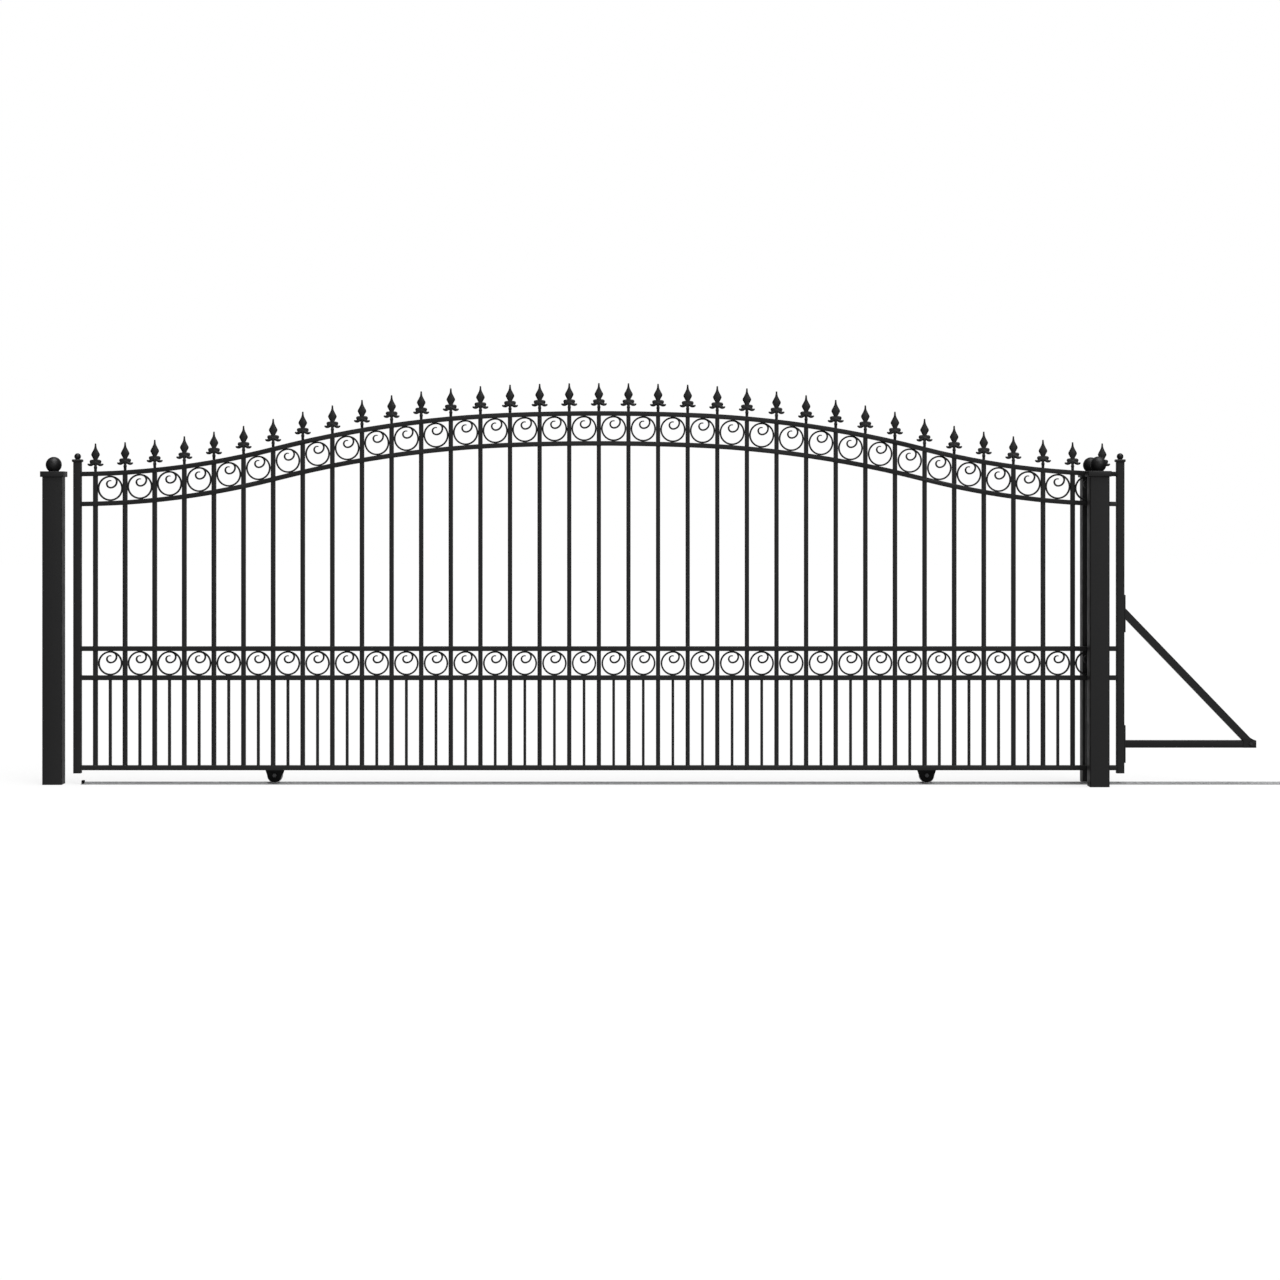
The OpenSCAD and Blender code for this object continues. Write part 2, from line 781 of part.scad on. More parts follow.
// A hexagon nut standing on height zero
module hex_nut(thread_d, height) {
    difference() {
        cylinder(h = height, d = thread_d * 1.9, $fn = 6);
        translate([0, 0, -CUT])
            cylinder(h = height + 2 * CUT, d = thread_d + 0.02);
    }
}

module roller_pin_nuts() {
    color(ZINC)
        for (z = roller_heights, side = [-1, 1])
            translate([guide_x, side * roller_y, z - ear_outer - pin_nut_height])
                hex_nut(roller_pin_d, pin_nut_height);
}

module bracket_bolts() {
    color(ZINC)
        for (z = roller_heights, side = [-1, 1], reach = [-1, 1])
            translate([guide_x, side * (guide_gap / 2 - bracket_plate), z + reach * bracket_bolt_reach])
                rotate([side * 90, 0, 0]) {
                    cylinder(h = 5.5, d = bracket_bolt_d * 1.9, $fn = 6);
                    translate([0, 0, -bracket_plate - post_wall - 6])
                        cylinder(h = bracket_plate + post_wall + 6 + CUT, d = bracket_bolt_d);
                }
}

module roller(side, z) {
    color(NYLON)
        translate([guide_x, side * roller_y, z])
            rotate_extrude()
                polygon([
                    [roller_bore_d / 2, -roller_height / 2],
                    [roller_d / 2 - 1.5, -roller_height / 2],
                    [roller_d / 2, -roller_height / 2 + 1.5],
                    [roller_d / 2, roller_height / 2 - 1.5],
                    [roller_d / 2 - 1.5, roller_height / 2],
                    [roller_bore_d / 2, roller_height / 2]
                ]);
}

module front_upper_roller() { roller(-1, mid_upper_mid); }
module front_lower_roller() { roller(-1, mid_lower_mid); }
module rear_upper_roller() { roller(1, mid_upper_mid); }
module rear_lower_roller() { roller(1, mid_lower_mid); }

// Outline of a wheel's side plate: straight tapers that run into a round end
module fork_outline() {
    top = bottom_rail_z - wheel_z;
    reach = sqrt(pow(fork_top_half, 2) + pow(top, 2));
    touch = atan(top / fork_top_half) - acos(fork_radius / reach);
    tangent = (fork_radius - TANGENT_LAP) * [cos(touch), sin(touch)];
    circle(r = fork_radius);
    polygon([
        [-fork_top_half, top], [-tangent[0], tangent[1]], [tangent[0], tangent[1]], [fork_top_half, top]
    ]);
}

module wheel_plates(x) {
    color(PAINT)
        for (side = [-1, 1])
            translate([x, side * (rail_depth - fork_plate) / 2, wheel_z])
                rotate([90, 0, 0])
                    linear_extrude(fork_plate, center = true)
                        difference() {
                            intersection() {
                                fork_outline();
                                translate([-2 * fork_top_half, bottom_rail_z - wheel_z - 200])
                                    square([4 * fork_top_half, 200]);
                            }
                            circle(d = axle_d + 0.4);
                        }
}

module left_wheel_plates() { wheel_plates(left_wheel_x); }
module right_wheel_plates() { wheel_plates(right_wheel_x); }

axle_nut_height = 10;
axle_head_height = 7.5;

module axle_bolts() {
    color(ZINC)
        for (x = [left_wheel_x, right_wheel_x])
            translate([x, -rail_depth / 2, wheel_z])
                rotate([90, 0, 0]) {
                    cylinder(h = axle_head_height, d = axle_d * 1.8, $fn = 6);
                    translate([0, 0, -rail_depth - axle_nut_height - 4])
                        cylinder(h = rail_depth + axle_nut_height + 4 + CUT, d = axle_d);
                }
}

module axle_nuts() {
    color(ZINC)
        for (x = [left_wheel_x, right_wheel_x])
            translate([x, rail_depth / 2 + axle_nut_height, wheel_z])
                rotate([90, 0, 0])
                    hex_nut(axle_d, axle_nut_height);
}

module axle_spacers() {
    inner_y = bearing_width / 2 + wheel_gap;
    color(STEEL)
        for (x = [left_wheel_x, right_wheel_x], side = [-1, 1])
            translate([x, side * (inner_y + fork_inner_y) / 2, wheel_z])
                rotate([90, 0, 0])
                    difference() {
                        cylinder(h = fork_inner_y - inner_y, d = axle_d + 6, center = true);
                        cylinder(h = rail_depth, d = axle_d + 0.1, center = true);
                    }
}

// A wheel with a right-angled groove that rides the ridge of the track
module grooved_wheel(x) {
    groove_half = wheel_r - groove_r;
    hub_half = bearing_width / 2 + 0.8;
    color(STEEL)
        translate([x, 0, wheel_z])
            rotate([90, 0, 0])
                rotate_extrude($fn = 128)
                    polygon([
                        [bearing_d / 2, -hub_half], [bearing_d / 2 + 4, -hub_half],
                        [bearing_d / 2 + 5, -wheel_width / 2 + 4],
                        [groove_r - 7, -wheel_width / 2 + 4], [groove_r - 6, -wheel_width / 2],
                        [wheel_r, -wheel_width / 2], [wheel_r, -groove_half], [groove_r, 0],
                        [wheel_r, groove_half], [wheel_r, wheel_width / 2],
                        [groove_r - 6, wheel_width / 2], [groove_r - 7, wheel_width / 2 - 4],
                        [bearing_d / 2 + 5, wheel_width / 2 - 4],
                        [bearing_d / 2 + 4, hub_half], [bearing_d / 2, hub_half]
                    ]);
}

module wheel_bearing(x) {
    color(STEEL)
        translate([x, 0, wheel_z])
            rotate([90, 0, 0])
                difference() {
                    cylinder(h = bearing_width, d = bearing_d, center = true);
                    cylinder(h = bearing_width + 2 * CUT, d = bearing_bore_d, center = true);
                }
}

module left_wheel() { grooved_wheel(left_wheel_x); }
module right_wheel() { grooved_wheel(right_wheel_x); }
module left_wheel_bearing() { wheel_bearing(left_wheel_x); }
module right_wheel_bearing() { wheel_bearing(right_wheel_x); }

function plate_bolt_pair(z) = [z - tail_plate_bolt_reach, z + tail_plate_bolt_reach];
function tail_plate_bolt_heights() =
    concat(plate_bolt_pair(tail_bar_z), plate_bolt_pair(tail_brace_z));

module tail_side_plate(z) {
    color(PAINT)
        difference() {
            translate([leaf_half, -frame_tube / 2, z - tail_plate_height / 2])
                cube([tail_plate, frame_tube, tail_plate_height]);
            for (height = plate_bolt_pair(z))
                translate([leaf_half - CUT, 0, height])
                    rotate([0, 90, 0]) {
                        cylinder(h = tail_plate + 2 * CUT, d = tail_bolt_clear_d);
                        translate([0, 0, tail_plate + CUT - sunk_head_height])
                            countersink();
                    }
        }
}

// The cone that a sunk bolt head lies in, carried on past the plate's face
module countersink() {
    cylinder(h = sunk_head_height + CUT, d1 = tail_bolt_d + 0.02, d2 = sunk_head_d + 2 * CUT + 0.02);
}

module tail_upper_plate() { tail_side_plate(tail_brace_z); }
module tail_lower_plate() { tail_side_plate(tail_bar_z); }

module tail_bar() {
    color(PAINT)
        difference() {
            translate([tail_plate_x, 0, tail_bar_z])
                rotate([0, 90, 0])
                    box_tube(tail_tube, tail_tube, tail_end_x - tail_plate_x, tail_wall);
            corner_bolt_hole();
        }
}

module corner_bolt_hole() {
    translate([tail_bolt_x, 0, tail_bolt_z])
        rotate([90, 0, 0])
            cylinder(h = 2 * tail_tube, d = tail_bolt_clear_d, center = true);
}

// The sloping tube, cut upright at its plate and level on top of the bar
module tail_brace() {
    color(PAINT)
        intersection() {
            translate([tail_bolt_x, 0, tail_bolt_z])
                rotate([0, brace_angle - 90, 0])
                    translate([0, 0, -tail_tube])
                        box_tube(tail_tube, tail_tube, brace_run + 3 * tail_tube, tail_wall);
            translate([tail_plate_x, -tail_tube, tail_bar_top])
                cube([tail_length, 2 * tail_tube, tail_brace_z]);
        }
}

// Two plates that join brace and bar at the tail's corner
module tail_cheeks() {
    slope = tan(brace_angle);
    rise = 14;
    low = tail_bar_z - tail_tube / 2;
    edge = tail_tube / 2 / cos(brace_angle);
    brace_left = tail_bolt_x - (tail_bar_top + rise - tail_bolt_z + edge) / slope;
    brace_right = tail_bolt_x - (tail_bar_top + rise - tail_bolt_z - edge) / slope;
    color(PAINT)
        for (side = [-1, 1])
            translate([0, side * (tail_tube + cheek_plate) / 2, 0])
                difference() {
                    rotate([90, 0, 0])
                        linear_extrude(cheek_plate, center = true)
                            polygon([
                                [tail_end_x - cheek_length, low], [tail_end_x, low],
                                [tail_end_x, tail_bar_top - 1], [tail_end_x - 14, tail_bar_top + 6],
                                [brace_right, tail_bar_top + rise], [brace_left, tail_bar_top + rise],
                                [tail_end_x - cheek_length, tail_bar_top]
                            ]);
                    corner_bolt_hole_at_cheek(side);
                }
}

module corner_bolt_hole_at_cheek(side) {
    translate([0, -side * (tail_tube + cheek_plate) / 2, 0])
        corner_bolt_hole();
}

// Sunk-head socket bolts, each in a nut welded inside the frame post
module tail_plate_bolts() {
    reach = tail_plate + frame_wall + tail_nut_height + 3;
    socket_depth = 0.25 * tail_bolt_d;
    color(ZINC)
        for (z = tail_plate_bolt_heights())
            translate([tail_plate_x, 0, z])
                rotate([0, 90, 0])
                    difference() {
                        union() {
                            translate([0, 0, -sunk_head_height])
                                cylinder(h = sunk_head_height, d1 = tail_bolt_d, d2 = sunk_head_d);
                            translate([0, 0, -reach])
                                cylinder(h = reach - sunk_head_height + CUT, d = tail_bolt_d);
                        }
                        translate([0, 0, -socket_depth])
                            cylinder(h = socket_depth + CUT, d = 0.66 * tail_bolt_d, $fn = 6);
                    }
}

module tail_corner_bolt() {
    color(ZINC)
        translate([tail_bolt_x, -corner_bolt_half, tail_bolt_z])
            rotate([90, 0, 0]) {
                cylinder(h = 6.5, d = tail_bolt_d * 1.9, $fn = 6);
                translate([0, 0, -2 * corner_bolt_half - 12])
                    cylinder(h = 2 * corner_bolt_half + 12 + CUT, d = tail_bolt_d);
            }
}

module tail_nuts() {
    color(ZINC) {
        for (z = tail_plate_bolt_heights())
            translate([leaf_half - frame_wall - tail_nut_height, 0, z])
                rotate([0, 90, 0])
                    hex_nut(tail_bolt_d, tail_nut_height);
        translate([tail_bolt_x, corner_bolt_half + tail_nut_height, tail_bolt_z])
            rotate([90, 0, 0])
                hex_nut(tail_bolt_d, tail_nut_height);
    }
}

// A plug pressed into the tail bar's open end
module tail_bar_plug() {
    body = tail_tube - 2 * tail_wall - 0.4;
    body_length = 8;
    color(RUBBER) {
        translate([tail_end_x, -tail_tube / 2, tail_bar_z - tail_tube / 2])
            cube([plug_flange, tail_tube, tail_tube]);
        translate([tail_end_x - body_length, -body / 2, tail_bar_z - body / 2])
            cube([body_length + CUT, body, body]);
    }
}

catch_post();
catch_post_cap();
catch_post_ball();
front_guide_post();
front_guide_post_cap();
front_guide_post_ball();
rear_guide_post();
rear_guide_post_cap();
rear_guide_post_ball();
track_section_1();
track_section_2();
track_section_3();
track_section_4();
track_end_stops();
front_roller_brackets();
rear_roller_brackets();
roller_pins();
roller_pin_nuts();
bracket_bolts();
front_upper_roller();
front_lower_roller();
rear_upper_roller();
rear_lower_roller();
left_frame_post();
right_frame_post();
frame_post_caps();
frame_post_balls();
bottom_rail();
mid_lower_rail();
mid_upper_rail();
lower_arch_rail();
upper_arch_rail();
tall_pickets();
short_pickets();
arch_scrolls();
band_scrolls();
spear_finials();
left_wheel_plates();
right_wheel_plates();
axle_bolts();
axle_nuts();
axle_spacers();
left_wheel();
left_wheel_bearing();
right_wheel();
right_wheel_bearing();
tail_upper_plate();
tail_lower_plate();
tail_bar();
tail_brace();
tail_cheeks();
tail_plate_bolts();
tail_corner_bolt();
tail_nuts();
tail_bar_plug();
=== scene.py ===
"""The looks of a sliding driveway gate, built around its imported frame.

Every piece is in metres in the frame's own axes: +X along the gate, +Y to the rear, +Z up.
Places come from the frame's nodes, so that a piece goes where its node is.
"""

import json
import logging
import math
from collections.abc import Callable, Iterator, Sequence
from contextlib import contextmanager
from dataclasses import dataclass, field
from enum import Enum
from functools import cache

import bmesh
import bpy
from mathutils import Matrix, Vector

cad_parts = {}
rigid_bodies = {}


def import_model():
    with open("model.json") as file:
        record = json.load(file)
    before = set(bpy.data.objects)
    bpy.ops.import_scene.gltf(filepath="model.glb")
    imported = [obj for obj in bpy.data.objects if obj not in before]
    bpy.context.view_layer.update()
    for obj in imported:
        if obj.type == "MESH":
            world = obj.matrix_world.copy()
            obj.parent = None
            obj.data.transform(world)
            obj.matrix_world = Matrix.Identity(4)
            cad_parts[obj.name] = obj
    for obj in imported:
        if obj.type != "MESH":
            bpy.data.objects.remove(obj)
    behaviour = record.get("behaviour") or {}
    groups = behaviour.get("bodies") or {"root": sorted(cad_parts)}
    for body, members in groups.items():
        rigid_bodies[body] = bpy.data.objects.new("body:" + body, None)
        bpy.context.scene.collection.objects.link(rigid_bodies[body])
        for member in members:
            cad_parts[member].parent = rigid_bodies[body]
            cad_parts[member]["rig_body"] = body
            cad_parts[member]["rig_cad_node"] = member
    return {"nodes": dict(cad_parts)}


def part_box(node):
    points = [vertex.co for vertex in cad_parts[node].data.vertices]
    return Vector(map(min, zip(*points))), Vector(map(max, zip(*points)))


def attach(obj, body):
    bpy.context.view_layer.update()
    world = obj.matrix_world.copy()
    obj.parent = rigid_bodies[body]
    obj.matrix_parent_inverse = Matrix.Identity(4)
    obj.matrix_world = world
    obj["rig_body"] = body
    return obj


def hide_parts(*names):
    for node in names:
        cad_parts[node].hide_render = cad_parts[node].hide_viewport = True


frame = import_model()

LOG = logging.getLogger("driveway_gate")
Point = tuple[float, float, float]
Object = bpy.types.Object
Socket = bpy.types.NodeSocket
EdgeTest = Callable[[bmesh.types.BMEdge], bool]
SPHERE = bpy.ops.mesh.primitive_uv_sphere_add
SHARP = math.radians(30)
FLAT = math.radians(0.05)
MERGE = 1e-5
ALONG = 0.9  # the least share of an edge's run that lies along its axis
MIX_SHARE, MIX_FIRST, MIX_SECOND, MIX_RESULT = 0, 6, 7, 2  # a colour mix node's sockets
DUST = (0.085, 0.082, 0.078, 1.0)
TALL_COUNT = 35
SHORT_COUNT = 34
PICKET_REACH = 0.03  # how far from a picket's middle nothing else of its kind stands
BALL_REACH = 0.1  # the same for a ball
PAIR = 1.0  # a node of balls longer than this holds one ball at each end
BEAD_RISE, BEAD_OUT, BEAD_SIDES = 0.4, 0.3, 8  # a ball's weld: shares of its radius, and its sides


class Body(Enum):
    """The bodies that pieces ride on."""

    SITE = "site"
    LEAF = "leaf"


class Slot(Enum):
    """The finishes that the record names."""

    POWDER_COAT = "black_powder_coat"
    CAST = "cast_black"
    GALVANISED = "galvanised_steel"
    ZINC = "zinc_hardware"
    BLACKENED = "blackened_hardware"
    WHEEL = "wheel_steel"
    BEARING = "bearing_steel"
    NYLON = "black_nylon"
    PLASTIC = "black_plastic"


class Axis(Enum):
    """The direction that a tube runs in."""

    X = 0
    Z = 2


# --------------------------------------------------------------------------- modelling by hand


def select_only(*pieces: Object) -> None:
    """Selects these objects and nothing else, and makes the first one active.

    Args:
        pieces: The objects to select.
    """
    bpy.ops.object.select_all(action="DESELECT")
    for piece in pieces:
        piece.select_set(True)
    bpy.context.view_layer.objects.active = pieces[0]


def fresh(adder: Callable[..., set[str]], **values: object) -> Object:
    """Adds an object while nothing else is selected.

    Args:
        adder: The operator that adds it.
        values: The operator's settings.

    Returns:
        The new object.
    """
    bpy.ops.object.select_all(action="DESELECT")
    adder(**values)
    return bpy.context.object


@contextmanager
def editing(piece: Object, everything: bool = False) -> Iterator[None]:
    """Holds an object in edit mode.

    Args:
        piece: The object to edit.
        everything: Whether its whole mesh starts selected, rather than nothing on it.
    """
    select_only(piece)
    bpy.ops.object.mode_set(mode="EDIT")
    bpy.ops.mesh.select_all(action="SELECT" if everything else "DESELECT")
    try:
        yield
    finally:
        bpy.ops.object.mode_set(mode="OBJECT")


def outer_corner(edge: bmesh.types.BMEdge) -> bool:
    """Says whether an edge is a sharp one that stands outwards.

    Args:
        edge: The edge to look at.

    Returns:
        True for a sharp outward edge between two faces.
    """
    return len(edge.link_faces) == 2 and edge.is_convex and edge.calc_face_angle(0.0) > SHARP


def along(axis: Axis, edge: bmesh.types.BMEdge) -> bool:
    """Says whether an edge runs more or less along an axis.

    Args:
        axis: The direction.
        edge: The edge to look at.

    Returns:
        True where the edge is within about 25 degrees of the axis.
    """
    run = edge.verts[1].co - edge.verts[0].co
    return abs(run[axis.value]) > ALONG * run.length


def settle(piece: Object, name: str) -> Object:
    """Puts an object's place into its mesh and names it.

    Args:
        piece: The object.
        name: Its name in the table of pieces.

    Returns:
        The same object.
    """
    select_only(piece)
    bpy.ops.object.transform_apply(location=True, rotation=True, scale=True)
    piece.name = name
    piece.data.name = name
    return piece


def shade(piece: Object, angle: float = SHARP) -> None:
    """Shades an object smooth, apart from edges sharper than an angle.

    Args:
        piece: The object.
        angle: The sharpest edge that is still smooth, in radians.
    """
    select_only(piece)
    bpy.ops.object.shade_smooth_by_angle(angle=angle)


def join(pieces: Sequence[Object], name: str) -> Object:
    """Joins several objects into one.

    Args:
        pieces: The objects.
        name: The name of the joined piece.

    Returns:
        The joined object.
    """
    select_only(*pieces)
    if len(pieces) > 1:
        bpy.ops.object.join()
    return settle(bpy.context.view_layer.objects.active, name)


def apply_modifier(piece: Object, kind: str, **values: object) -> None:
    """Adds one modifier to an object and applies it.

    Args:
        piece: The object.
        kind: The modifier's type.
        values: Its settings.
    """
    select_only(piece)
    bpy.ops.object.modifier_add(type=kind)
    modifier = piece.modifiers[-1]
    for key, value in values.items():
        setattr(modifier, key, value)
    bpy.ops.object.modifier_apply(modifier=modifier.name)


def repeat(pattern: Object, places: Sequence[tuple[Sequence[float], float]], name: str) -> Object:
    """Copies a pattern piece, modelled at the origin, and joins the copies into one piece.

    Args:
        pattern: The pattern, which is deleted.
        places: Where each copy's origin goes, and the copy's scale.
        name: The joined piece's name.

    Returns:
        The joined piece.
    """
    copies = []
    for place, size in places:
        select_only(pattern)
        bpy.ops.object.duplicate()
        copy = bpy.context.view_layer.objects.active
        copy.location = place
        copy.scale = (size, size, size)
        copies.append(copy)
    select_only(pattern)
    bpy.ops.object.delete()
    return join(copies, name)


def lift_off(node: str, name: str) -> Object:
    """Copies a node into a new piece whose triangles are merged into clean faces.

    Args:
        node: The node in the frame.
        name: The new piece's name.

    Returns:
        The new piece, riding on nothing yet.
    """
    select_only(frame["nodes"][node])
    bpy.ops.object.duplicate()
    piece = bpy.context.view_layer.objects.active
    piece.parent = None
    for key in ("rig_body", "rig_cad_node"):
        del piece[key]
    with editing(piece, everything=True):
        bpy.ops.mesh.remove_doubles(threshold=MERGE)
        bpy.ops.mesh.dissolve_limited(angle_limit=FLAT)
    return settle(piece, name)


def round_edges(piece: Object, test: EdgeTest, width: float, segments: int) -> None:
    """Rounds the edges of a piece that pass a test.

    Args:
        piece: The piece.
        test: Says whether an edge is rounded.
        width: How far the rounding reaches from the edge.
        segments: How many faces make the rounding.
    """
    with editing(piece):
        bpy.ops.mesh.select_mode(type="EDGE")
        mesh = bmesh.from_edit_mesh(piece.data)
        wanted = [edge for edge in mesh.edges if test(edge)]
        for edge in wanted:
            edge.select_set(True)
        bmesh.update_edit_mesh(piece.data)
        if wanted:
            bpy.ops.mesh.bevel(offset=width, segments=segments, affect="EDGES", clamp_overlap=True)


def node_points(node: str) -> list[Vector]:
    """The corners of a node's mesh at rest.

    Args:
        node: The node in the frame.

    Returns:
        The corners.
    """
    return [vertex.co.copy() for vertex in frame["nodes"][node].data.vertices]


def box_near(points: Sequence[Vector], x: float, reach: float) -> tuple[Vector, Vector]:
    """The box of the points within a distance of a place along the gate.

    Args:
        points: The points to look through.
        x: The place.
        reach: The distance.

    Returns:
        The lowest and the highest corner.
    """
    near = [point for point in points if abs(point.x - x) < reach]
    low = Vector(min(point[i] for point in near) for i in range(3))
    high = Vector(max(point[i] for point in near) for i in range(3))
    return low, high


def picket_row(node: str, count: int) -> tuple[tuple[Vector, Vector], list[float]]:
    """Where the pickets of one kind stand.

    Args:
        node: The node that holds them.
        count: How many there are.

    Returns:
        The first picket's box, and each picket's place along the gate.
    """
    low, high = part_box(node)
    near, far = box_near(node_points(node), low.x, PICKET_REACH)
    start = (near.x + far.x) / 2
    pitch = (high.x + low.x - 2 * start) / (count - 1)
    return (near, far), [start + index * pitch for index in range(count)]


# --------------------------------------------------------------------------- finishes


@dataclass
class Nodes:
    """A short way to add and join the nodes of one node tree."""

    tree: bpy.types.NodeTree

    def add(self, kind: str, **values: object) -> bpy.types.Node:
        """Adds a node and sets its own settings and the values of its inputs.

        Args:
            kind: The node's type.
            values: Settings by attribute name, or inputs by name with spaces as underscores.

        Returns:
            The node.
        """
        node = self.tree.nodes.new(kind)
        for key, value in values.items():
            if hasattr(node, key):
                setattr(node, key, value)
            elif isinstance(value, Socket):
                self.tree.links.new(value, node.inputs[key.replace("_", " ")])
            else:
                node.inputs[key.replace("_", " ")].default_value = value
        return node

    def link(self, start: Socket, end: Socket) -> None:
        """Joins an output to an input."""
        self.tree.links.new(start, end)

    def remap(self, value: Socket, low: float, high: float, to_low: float, to_high: float) -> Socket:
        """Maps one range of a value to another, and holds it there.

        Args:
            value: The value to map.
            low: The start of its range.
            high: The end of its range.
            to_low: What the start becomes.
            to_high: What the end becomes.

        Returns:
            The mapped value.
        """
        node = self.add("ShaderNodeMapRange", clamp=True)
        self.link(value, node.inputs["Value"])
        for key, number in zip(("From Min", "From Max", "To Min", "To Max"), (low, high, to_low, to_high)):
            node.inputs[key].default_value = number
        return node.outputs["Result"]

    def product(self, first: Socket, second: Socket) -> Socket:
        """Multiplies two values.

        Args:
            first: The first value.
            second: The second value.

        Returns:
            The product.
        """
        node = self.add("ShaderNodeMath", operation="MULTIPLY")
        self.link(first, node.inputs[0])
        self.link(second, node.inputs[1])
        return node.outputs[0]

    def mix_colour(self, share: Socket, first: Sequence[float], second: Sequence[float]) -> Socket:
        """Mixes two colours by a share.

        Args:
            share: Nought for the first colour and one for the second.
            first: The first colour.
            second: The second colour.

        Returns:
            The mixed colour.
        """
        node = self.add("ShaderNodeMix", data_type="RGBA")
        self.link(share, node.inputs[MIX_SHARE])
        node.inputs[MIX_FIRST].default_value = (*first, 1.0)
        node.inputs[MIX_SECOND].default_value = (*second, 1.0)
        return node.outputs[MIX_RESULT]


def group_tree(name: str, inputs: dict[str, float], outputs: Sequence[str]) -> bpy.types.NodeTree:
    """Starts a node group with named numbers in and out.

    Args:
        name: The group's name.
        inputs: Each input's name and first value.
        outputs: The names of the outputs.

    Returns:
        The empty group.
    """
    tree = bpy.data.node_groups.new(name, "ShaderNodeTree")
    for key, value in inputs.items():
        socket = tree.interface.new_socket(name=key, in_out="INPUT", socket_type="NodeSocketFloat")
        socket.default_value = value
    for key in outputs:
        tree.interface.new_socket(name=key, in_out="OUTPUT", socket_type="NodeSocketFloat")
    tree.nodes.new("NodeGroupInput")
    tree.nodes.new("NodeGroupOutput")
    return tree


@cache
def orange_peel() -> bpy.types.NodeTree:
    """The fine dimples of baked powder paint, and the slow change in its gloss.

    Returns:
        The node group, built once.
    """
    tree = group_tree("orange_peel", {"Dimples per metre": 700.0}, ("Height", "Gloss", "Drift"))
    nodes = Nodes(tree)
    start, end = tree.nodes["Group Input"], tree.nodes["Group Output"]
    place = nodes.add("ShaderNodeTexCoord").outputs["Object"]
    fine = nodes.add("ShaderNodeTexNoise", Vector=place, Detail=2.0, Roughness=0.45)
    nodes.link(start.outputs["Dimples per metre"], fine.inputs["Scale"])
    patch = nodes.add("ShaderNodeTexNoise", Vector=place, Scale=23.0, Detail=4.0, Roughness=0.6)
    slow = nodes.add("ShaderNodeTexNoise", Vector=place, Scale=1.7, Detail=3.0, Roughness=0.5)
    nodes.link(nodes.remap(fine.outputs["Fac"], 0.3, 0.7, 0.0, 1.0), end.inputs["Height"])
    nodes.link(nodes.remap(patch.outputs["Fac"], 0.35, 0.65, 0.0, 1.0), end.inputs["Gloss"])
    nodes.link(nodes.remap(slow.outputs["Fac"], 0.35, 0.65, 0.0, 1.0), end.inputs["Drift"])
    return tree


@cache
def settled_dust() -> bpy.types.NodeTree:
    """Dust that lies on faces that look upwards.

    Returns:
        The node group, built once.
    """
    tree = group_tree("settled_dust", {"Amount": 0.3}, ("Cover",))
    nodes = Nodes(tree)
    start, end = tree.nodes["Group Input"], tree.nodes["Group Output"]
    place = nodes.add("ShaderNodeTexCoord").outputs["Object"]
    grains = nodes.add("ShaderNodeTexNoise", Vector=place, Scale=160.0, Detail=5.0, Roughness=0.7)
    facing = nodes.add("ShaderNodeSeparateXYZ", Vector=nodes.add("ShaderNodeNewGeometry").outputs["Normal"])
    upward = nodes.remap(facing.outputs["Z"], 0.55, 1.0, 0.0, 1.0)
    speckle = nodes.remap(grains.outputs["Fac"], 0.35, 0.7, 0.2, 1.0)
    cover = nodes.product(nodes.product(upward, speckle), start.outputs["Amount"])
    nodes.link(cover, end.inputs["Cover"])
    return tree


@cache
def fine_scratches() -> bpy.types.NodeTree:
    """Fine marks that run along the gate, as drawing, rolling and turning leave.

    Returns:
        The node group, built once.
    """
    tree = group_tree("fine_scratches", {"Lines per metre": 900.0}, ("Height", "Tone"))
    nodes = Nodes(tree)
    start, end = tree.nodes["Group Input"], tree.nodes["Group Output"]
    place = nodes.add("ShaderNodeTexCoord").outputs["Object"]
    drawn = nodes.add("ShaderNodeMapping", Vector=place)
    drawn.inputs["Scale"].default_value = (0.03, 1.0, 1.0)
    lines = nodes.add("ShaderNodeTexNoise", Vector=drawn.outputs["Vector"], Detail=3.0, Roughness=0.6)
    nodes.link(start.outputs["Lines per metre"], lines.inputs["Scale"])
    tone = nodes.add("ShaderNodeTexNoise", Vector=place, Scale=40.0, Detail=4.0, Roughness=0.6)
    nodes.link(nodes.remap(lines.outputs["Fac"], 0.35, 0.65, 0.0, 1.0), end.inputs["Height"])
    nodes.link(nodes.remap(tone.outputs["Fac"], 0.35, 0.65, 0.0, 1.0), end.inputs["Tone"])
    return tree


def new_material(name: str) -> tuple[bpy.types.Material, Nodes, bpy.types.Node]:
    """Starts a node material with one Principled shader.

    Args:
        name: The material's name.

    Returns:
        The material, its nodes and the shader.
    """
    material = bpy.data.materials.new(name)
    material.use_nodes = True
    nodes = Nodes(material.node_tree)
    return material, nodes, material.node_tree.nodes["Principled BSDF"]


def raise_bumps(nodes: Nodes, shader: bpy.types.Node, height: Socket, depth: float, strength: float) -> None:
    """Feeds a height into a shader's normal.

    Args:
        nodes: The material's nodes.
        shader: The Principled shader.
        height: The height, from nought to one.
        depth: How high one is, in metres.
        strength: The bump's strength.
    """
    bump = nodes.add("ShaderNodeBump", Strength=strength, Distance=depth)
    nodes.link(height, bump.inputs["Height"])
    nodes.link(bump.outputs["Normal"], shader.inputs["Normal"])


